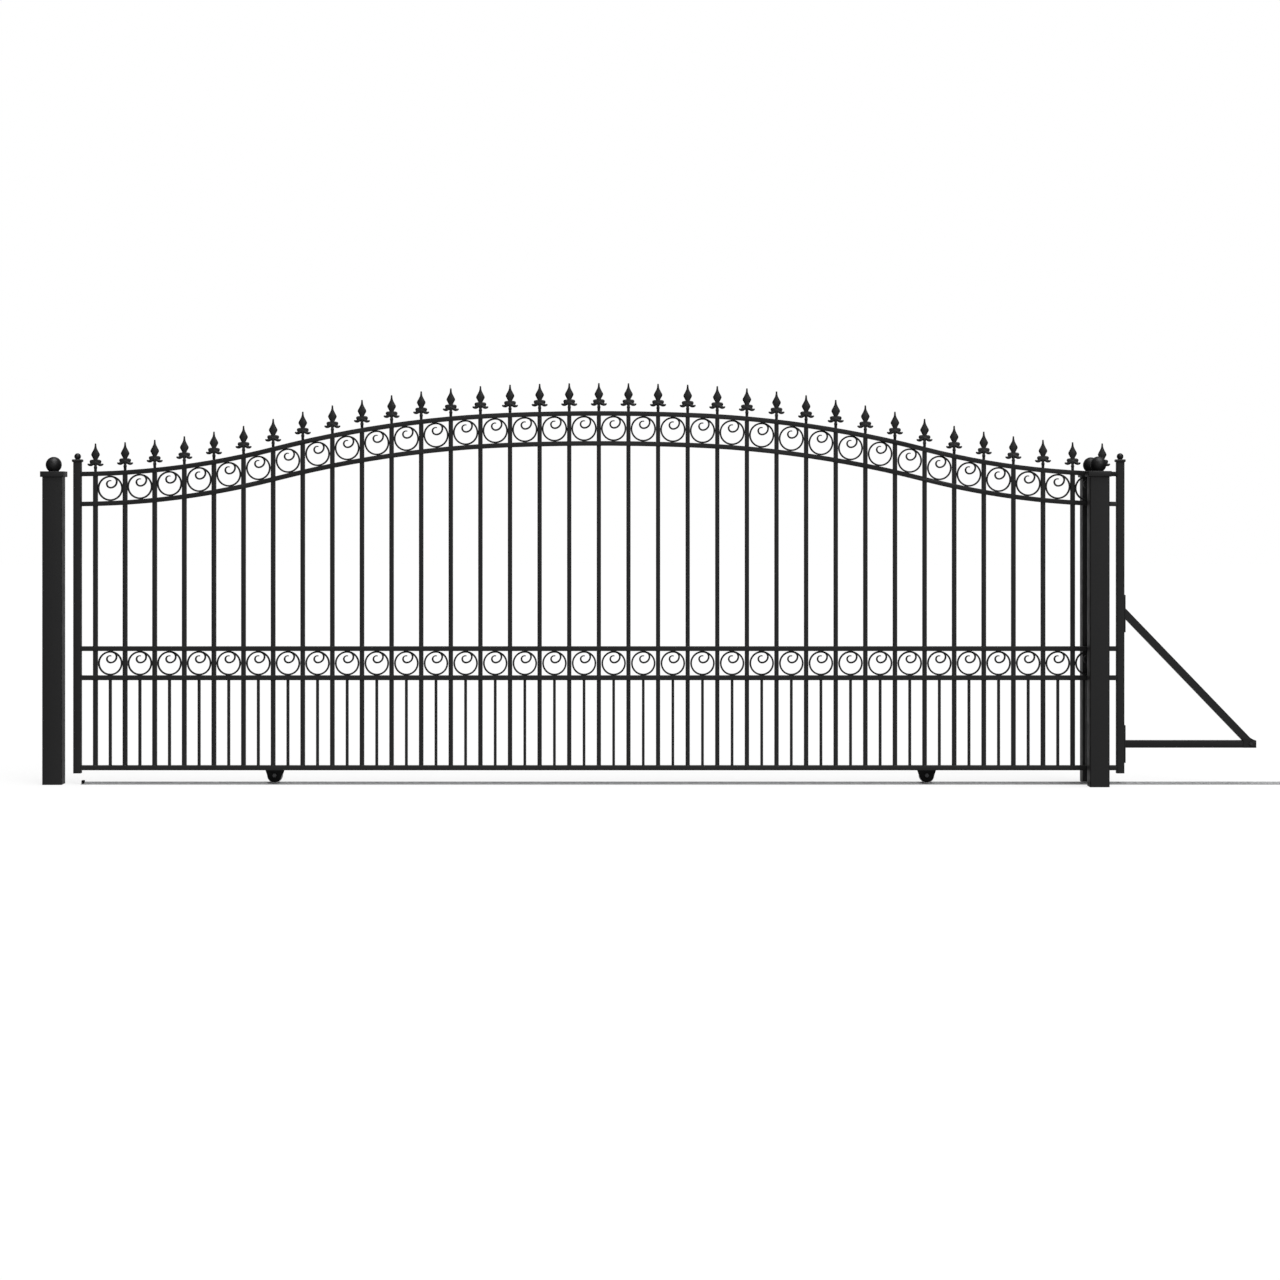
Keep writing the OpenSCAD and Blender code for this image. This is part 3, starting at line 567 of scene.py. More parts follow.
@dataclass(frozen=True)
class BakedPaint:
    """Powder paint baked onto steel: dimpled, satin, with a little dust on top."""

    name: str
    colour: Point
    worn_colour: Point
    gloss: tuple[float, float]
    specular: float
    dimples: float
    depth: float
    dust: float
    bump: float = 0.18

    def material(self) -> bpy.types.Material:
        """Builds the material.

        Returns:
            The material.
        """
        material, nodes, shader = new_material(self.name)
        peel = nodes.add("ShaderNodeGroup", node_tree=orange_peel(), Dimples_per_metre=self.dimples)
        dust = nodes.add("ShaderNodeGroup", node_tree=settled_dust(), Amount=self.dust)
        paint = nodes.mix_colour(peel.outputs["Drift"], self.colour, self.worn_colour)
        dusted = nodes.add("ShaderNodeMix", data_type="RGBA")
        nodes.link(dust.outputs["Cover"], dusted.inputs[MIX_SHARE])
        nodes.link(paint, dusted.inputs[MIX_FIRST])
        dusted.inputs[MIX_SECOND].default_value = DUST
        nodes.link(dusted.outputs[MIX_RESULT], shader.inputs["Base Color"])
        nodes.link(nodes.remap(peel.outputs["Gloss"], 0.0, 1.0, *self.gloss), shader.inputs["Roughness"])
        shader.inputs["Specular IOR Level"].default_value = self.specular
        raise_bumps(nodes, shader, peel.outputs["Height"], self.depth, self.bump)
        return material


@dataclass(frozen=True)
class ZincCoat:
    """Zinc on steel: hot-dipped with large crystals, or plated and bright."""

    name: str
    dark: Point
    light: Point
    gloss: tuple[float, float]
    metallic: float
    crystals: float
    depth: float
    lines: float = 1200.0
    line_fade: float = 0.6
    bump: float = 0.4

    def material(self) -> bpy.types.Material:
        """Builds the material.

        Returns:
            The material.
        """
        material, nodes, shader = new_material(self.name)
        place = nodes.add("ShaderNodeTexCoord").outputs["Object"]
        spangle = nodes.add("ShaderNodeTexVoronoi", Vector=place, Scale=self.crystals, Randomness=1.0)
        tone = nodes.add("ShaderNodeSeparateColor", Color=spangle.outputs["Color"])
        marks = nodes.add("ShaderNodeGroup", node_tree=fine_scratches(), Lines_per_metre=self.lines)
        fade = nodes.remap(marks.outputs["Tone"], 0.0, 1.0, self.line_fade, 1.0)
        blend = nodes.product(tone.outputs["Red"], fade)
        nodes.link(nodes.mix_colour(blend, self.dark, self.light), shader.inputs["Base Color"])
        nodes.link(nodes.remap(tone.outputs["Green"], 0.0, 1.0, *self.gloss), shader.inputs["Roughness"])
        shader.inputs["Metallic"].default_value = self.metallic
        raise_bumps(nodes, shader, marks.outputs["Height"], self.depth, self.bump)
        return material


@dataclass(frozen=True)
class TurnedFace:
    """A turned or moulded surface, with rings around its own axle and a slow change in tone."""

    name: str
    dark: Point
    light: Point
    gloss: tuple[float, float]
    metallic: float
    rings: float
    depth: float
    bump: float = 0.5

    def material(self) -> bpy.types.Material:
        """Builds the material.

        Returns:
            The material.
        """
        material, nodes, shader = new_material(self.name)
        marks = nodes.add("ShaderNodeGroup", node_tree=fine_scratches(), Lines_per_metre=self.rings)
        colour = nodes.mix_colour(marks.outputs["Tone"], self.dark, self.light)
        nodes.link(colour, shader.inputs["Base Color"])
        nodes.link(nodes.remap(marks.outputs["Height"], 0.0, 1.0, *self.gloss), shader.inputs["Roughness"])
        shader.inputs["Metallic"].default_value = self.metallic
        raise_bumps(nodes, shader, marks.outputs["Height"], self.depth, self.bump)
        return material


@dataclass
class Finishes:
    """Every finish on the gate, by the slot that it fills."""

    made: dict[Slot, bpy.types.Material] = field(default_factory=dict)
    painted_shade_coat: bpy.types.Material | None = None

    def build(self) -> None:
        """Builds all materials."""
        # Painted shade: a dull near-black coat for parts that look darker only because shade falls on them.
        # These are the wheel cheeks under the bottom rail, and the track's end blocks in their contact
        # shadow.
        self.painted_shade_coat = BakedPaint(
            "black_shop_coat", colour=(0.0016, 0.0016, 0.0018), worn_colour=(0.0026, 0.0026, 0.0028),
            gloss=(0.55, 0.70), specular=0.12, dimples=500.0, depth=0.00005, dust=0.04,
        ).material()
        plans: dict[Slot, BakedPaint | ZincCoat | TurnedFace] = {
            Slot.POWDER_COAT: BakedPaint(
                "satin_black_powder", colour=(0.0140, 0.0140, 0.0145),
                worn_colour=(0.0165, 0.0165, 0.0170), gloss=(0.40, 0.50), specular=0.42, dimples=700.0,
                depth=0.00006, dust=0.10,
            ),
            Slot.CAST: BakedPaint(
                "satin_black_on_casting", colour=(0.0150, 0.0150, 0.0155),
                worn_colour=(0.0185, 0.0185, 0.0190), gloss=(0.44, 0.56), specular=0.42, dimples=420.0,
                depth=0.00018, dust=0.12,
            ),
            Slot.GALVANISED: ZincCoat(
                "dull_galvanised", dark=(0.42, 0.425, 0.43), light=(0.54, 0.545, 0.55),
                gloss=(0.42, 0.62), metallic=0.20, crystals=90.0, depth=0.00005,
            ),
            Slot.ZINC: ZincCoat(
                "bright_zinc", dark=(0.50, 0.50, 0.50), light=(0.64, 0.64, 0.62), gloss=(0.25, 0.36),
                metallic=1.0, crystals=350.0, depth=0.00002,
            ),
            Slot.BLACKENED: ZincCoat(
                "blackened_bolts", dark=(0.05, 0.05, 0.052), light=(0.10, 0.10, 0.102),
                gloss=(0.30, 0.44), metallic=0.8, crystals=300.0, depth=0.00003,
            ),
            Slot.WHEEL: TurnedFace(
                "turned_wheel_steel", dark=(0.62, 0.62, 0.63), light=(0.76, 0.76, 0.77),
                gloss=(0.34, 0.50), metallic=0.3, rings=1400.0, depth=0.00004,
            ),
            Slot.BEARING: TurnedFace(
                "ground_bearing_steel", dark=(0.50, 0.50, 0.51), light=(0.62, 0.62, 0.63),
                gloss=(0.16, 0.3), metallic=1.0, rings=2400.0, depth=0.00001,
            ),
            Slot.NYLON: TurnedFace(
                "black_nylon", dark=(0.024, 0.024, 0.026), light=(0.036, 0.036, 0.038),
                gloss=(0.42, 0.58), metallic=0.0, rings=900.0, depth=0.00006,
            ),
            Slot.PLASTIC: TurnedFace(
                "moulded_black_plastic", dark=(0.012, 0.012, 0.012), light=(0.018, 0.018, 0.018),
                gloss=(0.5, 0.66), metallic=0.0, rings=500.0, depth=0.00005,
            ),
        }
        for slot, plan in plans.items():
            self.made[slot] = plan.material()

    def coat(self, piece: Object, slot: Slot, painted_shade_coat: bool = False) -> None:
        """Gives a whole piece one finish.

        Args:
            piece: The piece or node.
            slot: The slot that the finish fills.
            painted_shade_coat: Whether it wears the dull near-black coat that paints in shade, over that
                finish.
        """
        piece.data.materials.clear()
        piece.data.materials.append(self.painted_shade_coat if painted_shade_coat else self.made[slot])
        for face in piece.data.polygons:
            face.material_index = 0


@dataclass
class SubAssembly:
    """What every sub-assembly of the gate shares."""

    finishes: Finishes
    body: Body = Body.SITE
    slot: Slot = Slot.POWDER_COAT

    def place(
        self, piece: Object, *nodes: str, slot: Slot | None = None, painted_shade_coat: bool = False
    ) -> None:
        """Finishes a piece, lets it ride, and lets it stand for nodes.

        Args:
            piece: The finished piece.
            nodes: The nodes that it stands for.
            slot: Its finish, where it isn't the sub-assembly's own.
            painted_shade_coat: Whether it wears the dull near-black coat that paints in shade.
        """
        self.finishes.coat(piece, slot or self.slot, painted_shade_coat)
        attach(piece, self.body.value)
        if nodes:
            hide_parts(*nodes)
        stands_for = ", ".join(nodes) or "itself"
        LOG.info("%s: %d faces, stands for %s", piece.name, len(piece.data.polygons), stands_for)

    def bare(self, slot: Slot, *nodes: str) -> None:
        """Finishes nodes that keep their own shapes.

        Args:
            slot: Their finish.
            nodes: The nodes in the frame.
        """
        for node in nodes:
            self.finishes.coat(frame["nodes"][node], slot)

    def tube(self, node: str, name: str, axis: Axis, corner: float, segments: int = 3) -> None:
        """Makes a rolled tube with rounded long corners from its node.

        Args:
            node: The node in the frame.
            name: The piece's name.
            axis: The direction that the tube runs in.
            corner: How far the rolled corner reaches.
            segments: How many faces make the corner.
        """
        piece = lift_off(node, name)

        def rolled(edge: bmesh.types.BMEdge) -> bool:
            """Says whether an edge is a long outer corner."""
            return outer_corner(edge) and along(axis, edge) and edge.calc_length() > 4 * corner

        round_edges(piece, rolled, corner, segments)
        shade(piece)
        self.place(piece, node)

    def dressed(
        self,
        node: str,
        name: str,
        width: float,
        segments: int = 2,
        slot: Slot | None = None,
        painted_shade_coat: bool = False,
    ) -> None:
        """Makes a plate, block or turned part with every outer edge broken from its node.

        Args:
            node: The node in the frame.
            name: The piece's name.
            width: How far the broken edge reaches.
            segments: How many faces make it.
            slot: Its finish, where it isn't the sub-assembly's own.
            painted_shade_coat: Whether it wears the dull near-black coat that paints in shade.
        """
        piece = lift_off(node, name)
        round_edges(piece, outer_corner, width, segments)
        shade(piece)
        self.place(piece, node, slot=slot, painted_shade_coat=painted_shade_coat)

    def ball(self, node: str, name: str, sides: int, bead: float) -> None:
        """Makes a pressed steel ball with a flat foot and a bead of weld around it.

        Args:
            node: The node that holds one ball or a pair of them.
            name: The piece's name.
            sides: How many faces go round the ball.
            bead: The radius of the weld bead.
        """
        points = node_points(node)
        low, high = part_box(node)
        ends = [low.x, high.x] if high.x - low.x > PAIR else [low.x]
        pieces = []
        for end in ends:
            near, far = box_near(points, end, BALL_REACH)
            centre = (near + far) / 2
            radius = (far.x - near.x) / 2
            centre.z = far.z - radius
            globe = fresh(SPHERE, segments=sides, ring_count=sides // 2, radius=radius, location=centre)
            sphere = settle(globe, name)
            with editing(sphere, everything=True):
                bpy.ops.mesh.bisect(
                    plane_co=(centre.x, centre.y, near.z), plane_no=(0, 0, 1), clear_inner=True, use_fill=True
                )
            foot = math.sqrt(radius**2 - (centre.z - near.z) ** 2)
            torus = fresh(
                bpy.ops.mesh.primitive_torus_add,
                location=(centre.x, centre.y, near.z + BEAD_RISE * bead),
                major_radius=foot + BEAD_OUT * bead,
                minor_radius=bead,
                major_segments=sides,
                minor_segments=BEAD_SIDES,
            )
            with editing(torus, everything=True):
                bpy.ops.mesh.bisect(
                    plane_co=(0, 0, near.z), plane_no=(0, 0, 1), clear_inner=True, use_fill=False
                )
                bpy.ops.mesh.select_all(action="DESELECT")
                bpy.ops.mesh.select_non_manifold()
                bpy.ops.mesh.bridge_edge_loops()
            pieces += [sphere, torus]
        made = join(pieces, name)
        shade(made)
        self.place(made, node)


# --------------------------------------------------------------------------- sub-assemblies


@dataclass
class GroundPosts(SubAssembly):
    """The catch post and the two guide posts, each with a box cap and a ball."""

    corner: float = 0.005
    cap_edge: float = 0.0022
    ball_bead: float = 0.003
    ball_sides: int = 64
    names: tuple[str, ...] = ("catch_post", "front_guide_post", "rear_guide_post")

    def build(self) -> None:
        """Builds the three posts."""
        for name in self.names:
            self.tube(name, f"{name}_tube", Axis.Z, self.corner, segments=5)
            self.dressed(f"{name}_cap", f"{name}_box_cap", self.cap_edge, segments=3)
            self.ball(f"{name}_ball", f"{name}_steel_ball", self.ball_sides, self.ball_bead)


@dataclass
class GroundTrack(SubAssembly):
    """The bolted-down track and its two end stops."""

    sections: int = 4
    edge: float = 0.0004
    block_edge: float = 0.0015
    slot: Slot = Slot.GALVANISED

    def build(self) -> None:
        """Builds the track."""
        for index in range(1, self.sections + 1):
            self.dressed(f"track_section_{index}", f"track_length_{index}", self.edge, segments=1)
        # The end blocks wear the near-black coat of painted shade, which stands for the contact shadow at the
        # track's end.
        self.dressed("track_end_stops", "track_end_blocks", self.block_edge, painted_shade_coat=True)


@dataclass
class GuideRollers(SubAssembly):
    """The brackets, pins and nylon rollers that hold the leaf upright."""

    edge: float = 0.0008

    def build(self) -> None:
        """Builds the brackets; pins, nuts and rollers keep their nodes' shapes."""
        for side in ("front", "rear"):
            self.dressed(f"{side}_roller_brackets", f"{side}_roller_channels", self.edge)
            self.bare(Slot.NYLON, f"{side}_upper_roller", f"{side}_lower_roller")
        self.bare(Slot.ZINC, "roller_pins", "roller_pin_nuts", "bracket_bolts")


@dataclass
class LeafFrame(SubAssembly):
    """The leaf's two frame posts, its rails and its caps."""

    body: Body = Body.LEAF
    post_corner: float = 0.003
    rail_corner: float = 0.0022
    cap_edge: float = 0.0004
    ball_bead: float = 0.0018
    ball_sides: int = 40
    straight_rails: tuple[str, ...] = ("bottom_rail", "mid_lower_rail", "mid_upper_rail")
    arched_rails: tuple[str, ...] = ("lower_arch_rail", "upper_arch_rail")

    def build(self) -> None:
        """Builds the frame."""
        for side in ("left", "right"):
            self.tube(f"{side}_frame_post", f"{side}_end_post", Axis.Z, self.post_corner, segments=4)
        for node in (*self.straight_rails, *self.arched_rails):
            self.tube(node, f"{node}_tube", Axis.X, self.rail_corner)
        self.dressed("frame_post_caps", "frame_collar_caps", self.cap_edge, segments=1, slot=Slot.CAST)
        self.ball("frame_post_balls", "frame_steel_balls", self.ball_sides, self.ball_bead)


@dataclass
class Pickets(SubAssembly):
    """The tall and the short pickets."""

    body: Body = Body.LEAF
    corner: float = 0.002

    def build(self) -> None:
        """Builds the pickets."""
        self.tube("tall_pickets", "tall_picket_tubes", Axis.Z, self.corner)
        self.tube("short_pickets", "short_picket_tubes", Axis.Z, self.corner, segments=2)


@dataclass
class Scrollwork(SubAssembly):
    """The scroll rings between the arched rails and between the mid rails."""

    body: Body = Body.LEAF
    bays: int = SHORT_COUNT
    ring_reach: float = 0.14
    bar: float = 0.009
    depth: float = 0.012
    edge: float = 0.0014
    leave_angle: float = math.radians(76)
    last_turn: float = math.radians(112)
    lap: float = 0.0004
    curls: tuple[float, ...] = (0.405, 0.52, 0.325, 0.275)
    ring_steps: int = 56
    leave_steps: int = 9
    hook_steps: tuple[int, int, int] = (10, 9, 12)
    taper: float = 0.955

    def section(self, radius: float) -> Object:
        """Draws the flat bar's section, with broken corners, on the ring's right side.

        Args:
            radius: The radius of the bar's middle line.

        Returns:
            The open outline, all selected in edit mode when it is next edited.
        """
        outline = fresh(bpy.ops.mesh.primitive_plane_add, size=1.0, location=(radius, 0, 0))
        outline.scale = (self.bar, self.depth, 1.0)
        settle(outline, "scroll_section")
        with editing(outline, everything=True):
            bpy.ops.mesh.bevel(offset=self.edge, segments=2, affect="VERTICES")
            bpy.ops.mesh.select_all(action="SELECT")
            bpy.ops.mesh.delete(type="ONLY_FACE")
        return outline

    @staticmethod
    def bend(centre: tuple[float, float], turn: float, steps: int) -> None:
        """Bends the selected open end of the bar about a centre.

        Args:
            centre: The centre, along the gate and upwards.
            turn: The angle, anticlockwise seen from the front.
            steps: How many lengths make the bend.
        """
        bpy.ops.mesh.spin(
            steps=steps, angle=turn, center=(centre[0], 0, centre[1]), axis=(0, 1, 0), use_auto_merge=False
        )

    def pattern(self, outer_radius: float) -> Object:
        """Models one scroll at the origin: a ring, and a bar that leaves it near the top and curls in.

        Args:
            outer_radius: The ring's outer radius.

        Returns:
            The pattern.
        """
        middle = outer_radius - self.bar / 2
        ring = self.section(middle)
        with editing(ring, everything=True):
            self.bend((0.0, 0.0), math.tau, self.ring_steps)
            bpy.ops.mesh.select_all(action="SELECT")
            bpy.ops.mesh.remove_doubles(threshold=MERGE)
            bpy.ops.mesh.normals_make_consistent(inside=False)
        curl = [share * middle for share in self.curls]
        start = middle - self.lap - curl[0]
        centres = [(start * math.cos(self.leave_angle), start * math.sin(self.leave_angle))]
        centres.append((centres[0][0] + curl[0] - curl[1], centres[0][1]))
        centres.append((centres[1][0], centres[1][1] + curl[2] - curl[1]))
        centres.append((centres[2][0] + curl[3] - curl[2], centres[2][1]))
        hook = self.section(centres[0][0] + curl[0])
        hook.location.z = centres[0][1]
        settle(hook, "scroll_hook")
        self.draw_hook(hook, centres)
        top = self.section(centres[0][0] + curl[0])
        top.location.z = centres[0][1]
        settle(top, "scroll_lead")
        with editing(top, everything=True):
            self.bend(centres[0], self.leave_angle, self.leave_steps)
        made = join([ring, hook, top], "scroll_pattern")
        with editing(made, everything=True):
            bpy.ops.mesh.remove_doubles(threshold=MERGE)
            bpy.ops.mesh.select_all(action="DESELECT")
            bpy.ops.mesh.select_non_manifold()
            bpy.ops.mesh.edge_face_add()
            bpy.ops.mesh.select_all(action="SELECT")
            bpy.ops.mesh.normals_make_consistent(inside=False)
        shade(made)
        return made

    def draw_hook(self, hook: Object, centres: Sequence[tuple[float, float]]) -> None:
        """Bends the inner curl on from the ring's right side, with its last turn drawn out thinner.

        Args:
            hook: The open outline that it starts from.
            centres: The centres of the four bends.
        """
        lead_steps, curl_steps, tip_steps = self.hook_steps
        with editing(hook, everything=True):
            self.bend(centres[1], -math.pi / 2, lead_steps)
            self.bend(centres[2], -math.pi / 2, curl_steps)
            for _ in range(tip_steps):
                self.bend(centres[3], -self.last_turn / tip_steps, 1)
                mesh = bmesh.from_edit_mesh(hook.data)
                chosen = [vertex.co for vertex in mesh.verts if vertex.select]
                middle = sum(chosen, Vector()) / len(chosen)
                bpy.ops.transform.resize(value=(self.taper, 1.0, self.taper), center_override=middle)

    def build(self) -> None:
        """Builds both rows of scrolls."""
        for node, name in (("arch_scrolls", "arch_scroll_rings"), ("band_scrolls", "band_scroll_rings")):
            points = node_points(node)
            low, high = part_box(node)
            first = box_near(points, low.x, self.ring_reach)
            last = box_near(points, high.x, self.ring_reach)
            start = (first[0].x + first[1].x) / 2
            pitch = ((last[0].x + last[1].x) / 2 - start) / (self.bays - 1)
            radius = (first[1].x - first[0].x) / 2
            pattern = self.pattern(radius)
            boxes = [box_near(points, start + index * pitch, pitch / 2) for index in range(self.bays)]
            places = [((near + far) / 2, (far.x - near.x) / 2 / radius) for near, far in boxes]
            self.place(repeat(pattern, places, name), node)


@dataclass
class SpearCastings(SubAssembly):
    """The cast spear that stands on each tall picket: stem, collar, two pairs of leaves and a blade."""

    body: Body = Body.LEAF
    slot: Slot = Slot.CAST
    height: float = 0.147
    upper_flatness: float = 0.62
    lower_flatness: float = 0.85
    crease: float = math.radians(50)
    ring: float = 0.01
    ball_faces: tuple[int, int] = (14, 8)
    blade_sides: int = 8
    stem_sides: int = 16
    smoothing: tuple[float, int] = (0.5, 3)
    grain: float = 0.0011
    faces: int = 1500
    blade: tuple[Point, ...] = (
        (0.040, 0.0060, 0.0046), (0.050, 0.0085, 0.0052), (0.062, 0.0108, 0.0056), (0.074, 0.0168, 0.0062),
        (0.083, 0.0218, 0.0068), (0.088, 0.0233, 0.0070), (0.094, 0.0216, 0.0068), (0.103, 0.0166, 0.0060),
        (0.112, 0.0118, 0.0052), (0.120, 0.0080, 0.0046), (0.128, 0.0058, 0.0044), (0.138, 0.0046, 0.0042),
        (0.1468, 0.0042, 0.0038),
    )
    stem: tuple[tuple[float, float], ...] = (
        (-0.006, 0.0066), (0.0005, 0.0068), (0.003, 0.0078), (0.0135, 0.0077),
        (0.0165, 0.0086), (0.0190, 0.0094), (0.0220, 0.0092), (0.026, 0.0080),
        (0.0290, 0.0074), (0.036, 0.0072), (0.050, 0.0076),
    )
    upper_leaf: tuple[Point, ...] = (
        (0.002, 0.0520, 0.0085), (0.009, 0.0535, 0.0093), (0.0160, 0.0532, 0.0096), (0.0218, 0.0520, 0.0097),
        (0.0226, 0.0505, 0.0090),
    )
    lower_leaf: tuple[Point, ...] = (
        (0.002, 0.0470, 0.0085), (0.010, 0.0430, 0.0083), (0.0170, 0.0385, 0.0086), (0.0225, 0.0357, 0.0083),
        (0.027, 0.0348, 0.0076), (0.032, 0.0346, 0.0064), (0.0365, 0.0362, 0.0052), (0.0396, 0.0387, 0.0040),
    )

    def rise(self, sides: int, stations: Sequence[Point]) -> Object:
        """Pulls a shape straight up through stations, each with a half width and a half thickness.

        Args:
            sides: How many corners its section has.
            stations: Height, half width and half thickness of each station, from the bottom up.

        Returns:
            The closed shape.
        """
        height, width, thickness = stations[0]
        disc = dict(vertices=sides, radius=self.ring, fill_type="NGON", location=(0, 0, height))
        made = settle(fresh(bpy.ops.mesh.primitive_circle_add, **disc), "ring")
        with editing(made, everything=True):
            first = (width / self.ring, thickness / self.ring, 1)
            bpy.ops.transform.resize(value=first, center_override=(0.0, 0.0, height))
            for (low, wide, thick), (high, next_wide, next_thick) in zip(stations, stations[1:]):
                bpy.ops.mesh.extrude_region_move(TRANSFORM_OT_translate={"value": (0, 0, high - low)})
                change = (next_wide / wide, next_thick / thick, 1)
                bpy.ops.transform.resize(value=change, center_override=(0, 0, high))
            bpy.ops.mesh.select_all(action="SELECT")
            bpy.ops.mesh.normals_make_consistent(inside=False)
        return made

    def leaf(self, side: int, path: Sequence[Point], flatness: float) -> Object:
        """Makes a curled leaf from round beads of metal along a path.

        Args:
            side: Which side it curls to, plus or minus one.
            path: Each bead's place out from the stem, its height and its radius.
            flatness: The leaf's thickness as a share of its width.

        Returns:
            The leaf, as shapes that lap each other.
        """
        segments, rings = self.ball_faces
        beads = []
        for (x0, z0, r0), (x1, z1, r1) in zip(path, path[1:]):
            for share in (0.0, 0.5):
                radius = r0 + (r1 - r0) * share
                place = (side * (x0 + (x1 - x0) * share), 0, z0 + (z1 - z0) * share)
                shape = dict(segments=segments, ring_count=rings, radius=radius, scale=(1, flatness, 1))
                beads.append(fresh(SPHERE, location=place, **shape))
        return join(beads, "leaf")

    def pattern(self) -> Object:
        """Models one spear at the origin and melts its shapes into one casting.

        Returns:
            The pattern.
        """
        shapes = [
            self.rise(self.blade_sides, self.blade),
            self.rise(self.stem_sides, [(height, radius, radius) for height, radius in self.stem]),
        ]
        for side in (-1, 1):
            shapes.append(self.leaf(side, self.upper_leaf, self.upper_flatness))
            shapes.append(self.leaf(side, self.lower_leaf, self.lower_flatness))
        made = join(shapes, "spear_pattern")
        apply_modifier(made, "REMESH", mode="VOXEL", voxel_size=self.grain)
        factor, rounds = self.smoothing
        apply_modifier(made, "SMOOTH", factor=factor, iterations=rounds)
        apply_modifier(made, "DECIMATE", ratio=min(1.0, self.faces / (2 * len(made.data.polygons))))
        shade(made, self.crease)
        return made

    def build(self) -> None:
        """Builds a spear on each tall picket."""
        points = node_points("spear_finials")
        places = []
        for x in picket_row("tall_pickets", TALL_COUNT)[1]:
            top = box_near(points, x, 2 * PICKET_REACH)[1].z
            places.append(((x, 0, top - self.height), 1.0))
        self.place(repeat(self.pattern(), places, "spear_castings"), "spear_finials")


@dataclass
class WeldBeads(SubAssembly):
    """The short beads that hold each picket to the straight rails, at its front and its rear face."""

    body: Body = Body.LEAF
    radius: float = 0.0018
    sides: int = 8
    end_gap: float = 0.002

    def pattern(self, near: Vector, far: Vector, levels: Sequence[float]) -> Object:
        """Models the beads of one picket, at the middle of the gate.

        Args:
            near: The picket's lowest corner.
            far: Its highest corner.
            levels: The heights of the rail faces that it meets.

        Returns:
            The beads.
        """
        half_length = (far.x - near.x) / 2 - self.end_gap
        shape = {
            "segments": self.sides,
            "ring_count": self.sides - 2,
            "radius": self.radius,
            "scale": (half_length / self.radius, 1, 1),
        }
        places = [(0, face, level) for level in levels for face in (near.y, far.y)]
        made = join([fresh(SPHERE, location=place, **shape) for place in places], "bead_pattern")
        shade(made)
        return made

    def build(self) -> None:
        """Builds the beads of the tall and the short pickets."""
        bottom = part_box("bottom_rail")[1].z
        lower_under, lower_top = (corner.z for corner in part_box("mid_lower_rail"))
        upper_under, upper_top = (corner.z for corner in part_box("mid_upper_rail"))
        for node, count, levels in (
            ("tall_pickets", TALL_COUNT, (bottom, lower_under, lower_top, upper_under, upper_top)),
            ("short_pickets", SHORT_COUNT, (bottom, lower_under)),
        ):
            first, row = picket_row(node, count)
            places = [((x, 0, 0), 1.0) for x in row]
            self.place(repeat(self.pattern(*first, levels), places, f"{node[:-1]}_weld_beads"))


@dataclass
class WheelSets(SubAssembly):
    """The two grooved wheels, their side plates, bearings and axles."""

    body: Body = Body.LEAF
    edge: float = 0.0006

    def build(self) -> None:
        """Builds the wheel housings; axles and bearings keep their nodes' shapes."""
        for side in ("left", "right"):
            # The cheeks wear the near-black coat of painted shade, which stands for the shade under the
            # bottom rail.
            self.dressed(f"{side}_wheel_plates", f"{side}_wheel_cheeks", self.edge, painted_shade_coat=True)
            self.bare(Slot.WHEEL, f"{side}_wheel")
            self.bare(Slot.BEARING, f"{side}_wheel_bearing")
        self.bare(Slot.BLACKENED, "axle_bolts", "axle_nuts", "axle_spacers")


@dataclass
class Tail(SubAssembly):
    """The braced tail behind the right frame post."""

    body: Body = Body.LEAF
    corner: float = 0.003
    edge: float = 0.001
    brace_edge: float = 0.0006

    def build(self) -> None:
        """Builds the tail's tubes and plates; bolts and nuts keep their nodes' shapes."""
        self.tube("tail_bar", "tail_bar_tube", Axis.X, self.corner)
        self.dressed("tail_brace", "tail_brace_tube", self.brace_edge, segments=1)
        self.dressed("tail_upper_plate", "tail_upper_flat", self.edge)
        self.dressed("tail_lower_plate", "tail_lower_flat", self.edge)
        self.dressed("tail_cheeks", "tail_corner_cheeks", self.edge / 2)
        self.dressed("tail_bar_plug", "tail_end_plug", self.edge / 2, slot=Slot.PLASTIC)
        self.bare(Slot.BLACKENED, "tail_plate_bolts", "tail_corner_bolt")
        self.bare(Slot.ZINC, "tail_nuts")


# --------------------------------------------------------------------------- studio


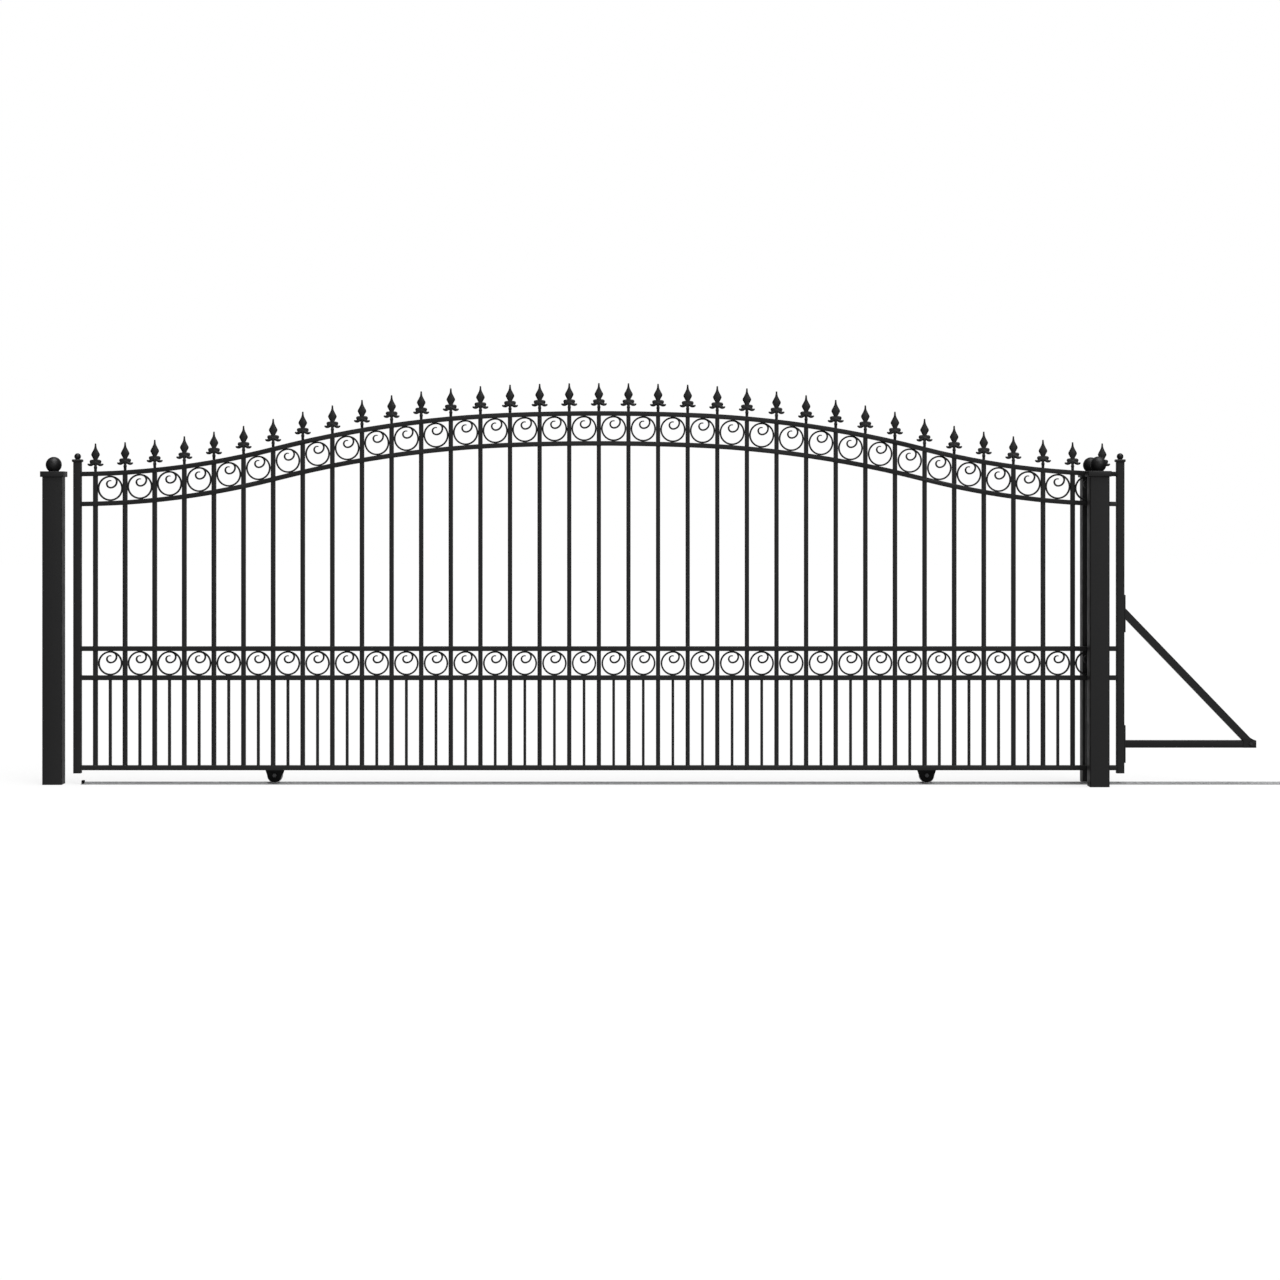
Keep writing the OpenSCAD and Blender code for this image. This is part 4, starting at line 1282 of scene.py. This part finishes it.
@dataclass
class Studio:
    """A pale floor, soft light and the camera."""

    camera_place: Point = (0.215, -15.1, 1.432)
    lens: float = 81.29
    sensor: float = 36.0
    shift_up: float = -0.1016
    clip_end: float = 200.0
    floor_half: float = 60.0
    floor_drop: float = 0.0004
    floor_tone: float = 0.26
    floor_glow: float = 0.78
    surroundings: tuple[float, float] = (0.01, 0.50)
    suns: tuple[tuple[str, float, float, float, float], ...] = (
        ("overhead_sun", 12.0, 8.0, 2.4, 50.0),
        ("right_fill", 50.0, 40.0, 0.65, 35.0),
    )

    def camera(self) -> None:
        """Sets up the camera, level and square to the gate."""
        square = (math.pi / 2, 0, 0)
        camera = fresh(bpy.ops.object.camera_add, location=self.camera_place, rotation=square)
        camera.name = "square_on_camera"
        camera.data.lens = self.lens
        camera.data.sensor_width = self.sensor
        camera.data.shift_y = self.shift_up
        camera.data.clip_end = self.clip_end
        bpy.context.scene.camera = camera

    def floor(self) -> None:
        """Lays the pale floor."""
        place = (0, 0, -self.floor_drop)
        plane = fresh(bpy.ops.mesh.primitive_plane_add, size=2 * self.floor_half, location=place)
        floor = settle(plane, "pale_floor")
        material, _, shader = new_material("pale_floor")
        shader.inputs["Base Color"].default_value = (*(self.floor_tone,) * 3, 1.0)
        shader.inputs["Roughness"].default_value = 1.0
        shader.inputs["Specular IOR Level"].default_value = 0.0
        shader.inputs["Emission Color"].default_value = (1.0, 1.0, 1.0, 1.0)
        shader.inputs["Emission Strength"].default_value = self.floor_glow
        floor.data.materials.append(material)
        floor.visible_glossy = False
        floor.visible_diffuse = False

    def backdrop(self) -> None:
        """Sets the white surroundings, which light the gate more softly than they look."""
        world = bpy.data.worlds.new("white_studio")
        world.use_nodes = True
        bpy.context.scene.world = world
        nodes = Nodes(world.node_tree)
        lit = world.node_tree.nodes["Background"]
        lit.inputs["Color"].default_value = (1, 1, 1, 1)
        way = nodes.add("ShaderNodeTexCoord").outputs["Generated"]
        share = nodes.add("ShaderNodeSeparateXYZ", Vector=way).outputs["Y"]
        for _ in range(2):
            share = nodes.product(share, share)
        nodes.link(nodes.remap(share, 0.0, 1.0, *self.surroundings), lit.inputs["Strength"])
        seen = nodes.add("ShaderNodeBackground", Color=(1, 1, 1, 1), Strength=1.0)
        path = nodes.add("ShaderNodeLightPath")
        mix = nodes.add("ShaderNodeMixShader")
        nodes.link(path.outputs["Is Camera Ray"], mix.inputs[0])
        nodes.link(lit.outputs["Background"], mix.inputs[1])
        nodes.link(seen.outputs["Background"], mix.inputs[2])
        nodes.link(mix.outputs["Shader"], world.node_tree.nodes["World Output"].inputs["Surface"])

    def lights(self) -> None:
        """Hangs the soft lights."""
        for name, lean, turn, strength, spread in self.suns:
            rotation = (math.radians(lean), math.radians(turn), 0)
            light = fresh(bpy.ops.object.light_add, type="SUN", location=(0, 0, 8), rotation=rotation)
            light.name = name
            light.data.energy = strength
            light.data.angle = math.radians(spread)

    def build(self) -> None:
        """Builds the studio."""
        bpy.context.scene.view_settings.view_transform = "Standard"
        self.camera()
        self.floor()
        self.backdrop()
        self.lights()


def main() -> None:
    """Builds the gate's looks."""
    logging.basicConfig(level=logging.INFO, format="%(name)s: %(message)s")
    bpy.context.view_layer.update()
    Studio().build()
    finishes = Finishes()
    finishes.build()
    assemblies: tuple[SubAssembly, ...] = (
        GroundPosts(finishes),
        GroundTrack(finishes),
        GuideRollers(finishes),
        LeafFrame(finishes),
        Pickets(finishes),
        Scrollwork(finishes),
        SpearCastings(finishes),
        WeldBeads(finishes),
        WheelSets(finishes),
        Tail(finishes),
    )
    for assembly in assemblies:
        assembly.build()
        LOG.info("%s done", type(assembly).__name__)


if __name__ == "__main__":
    main()
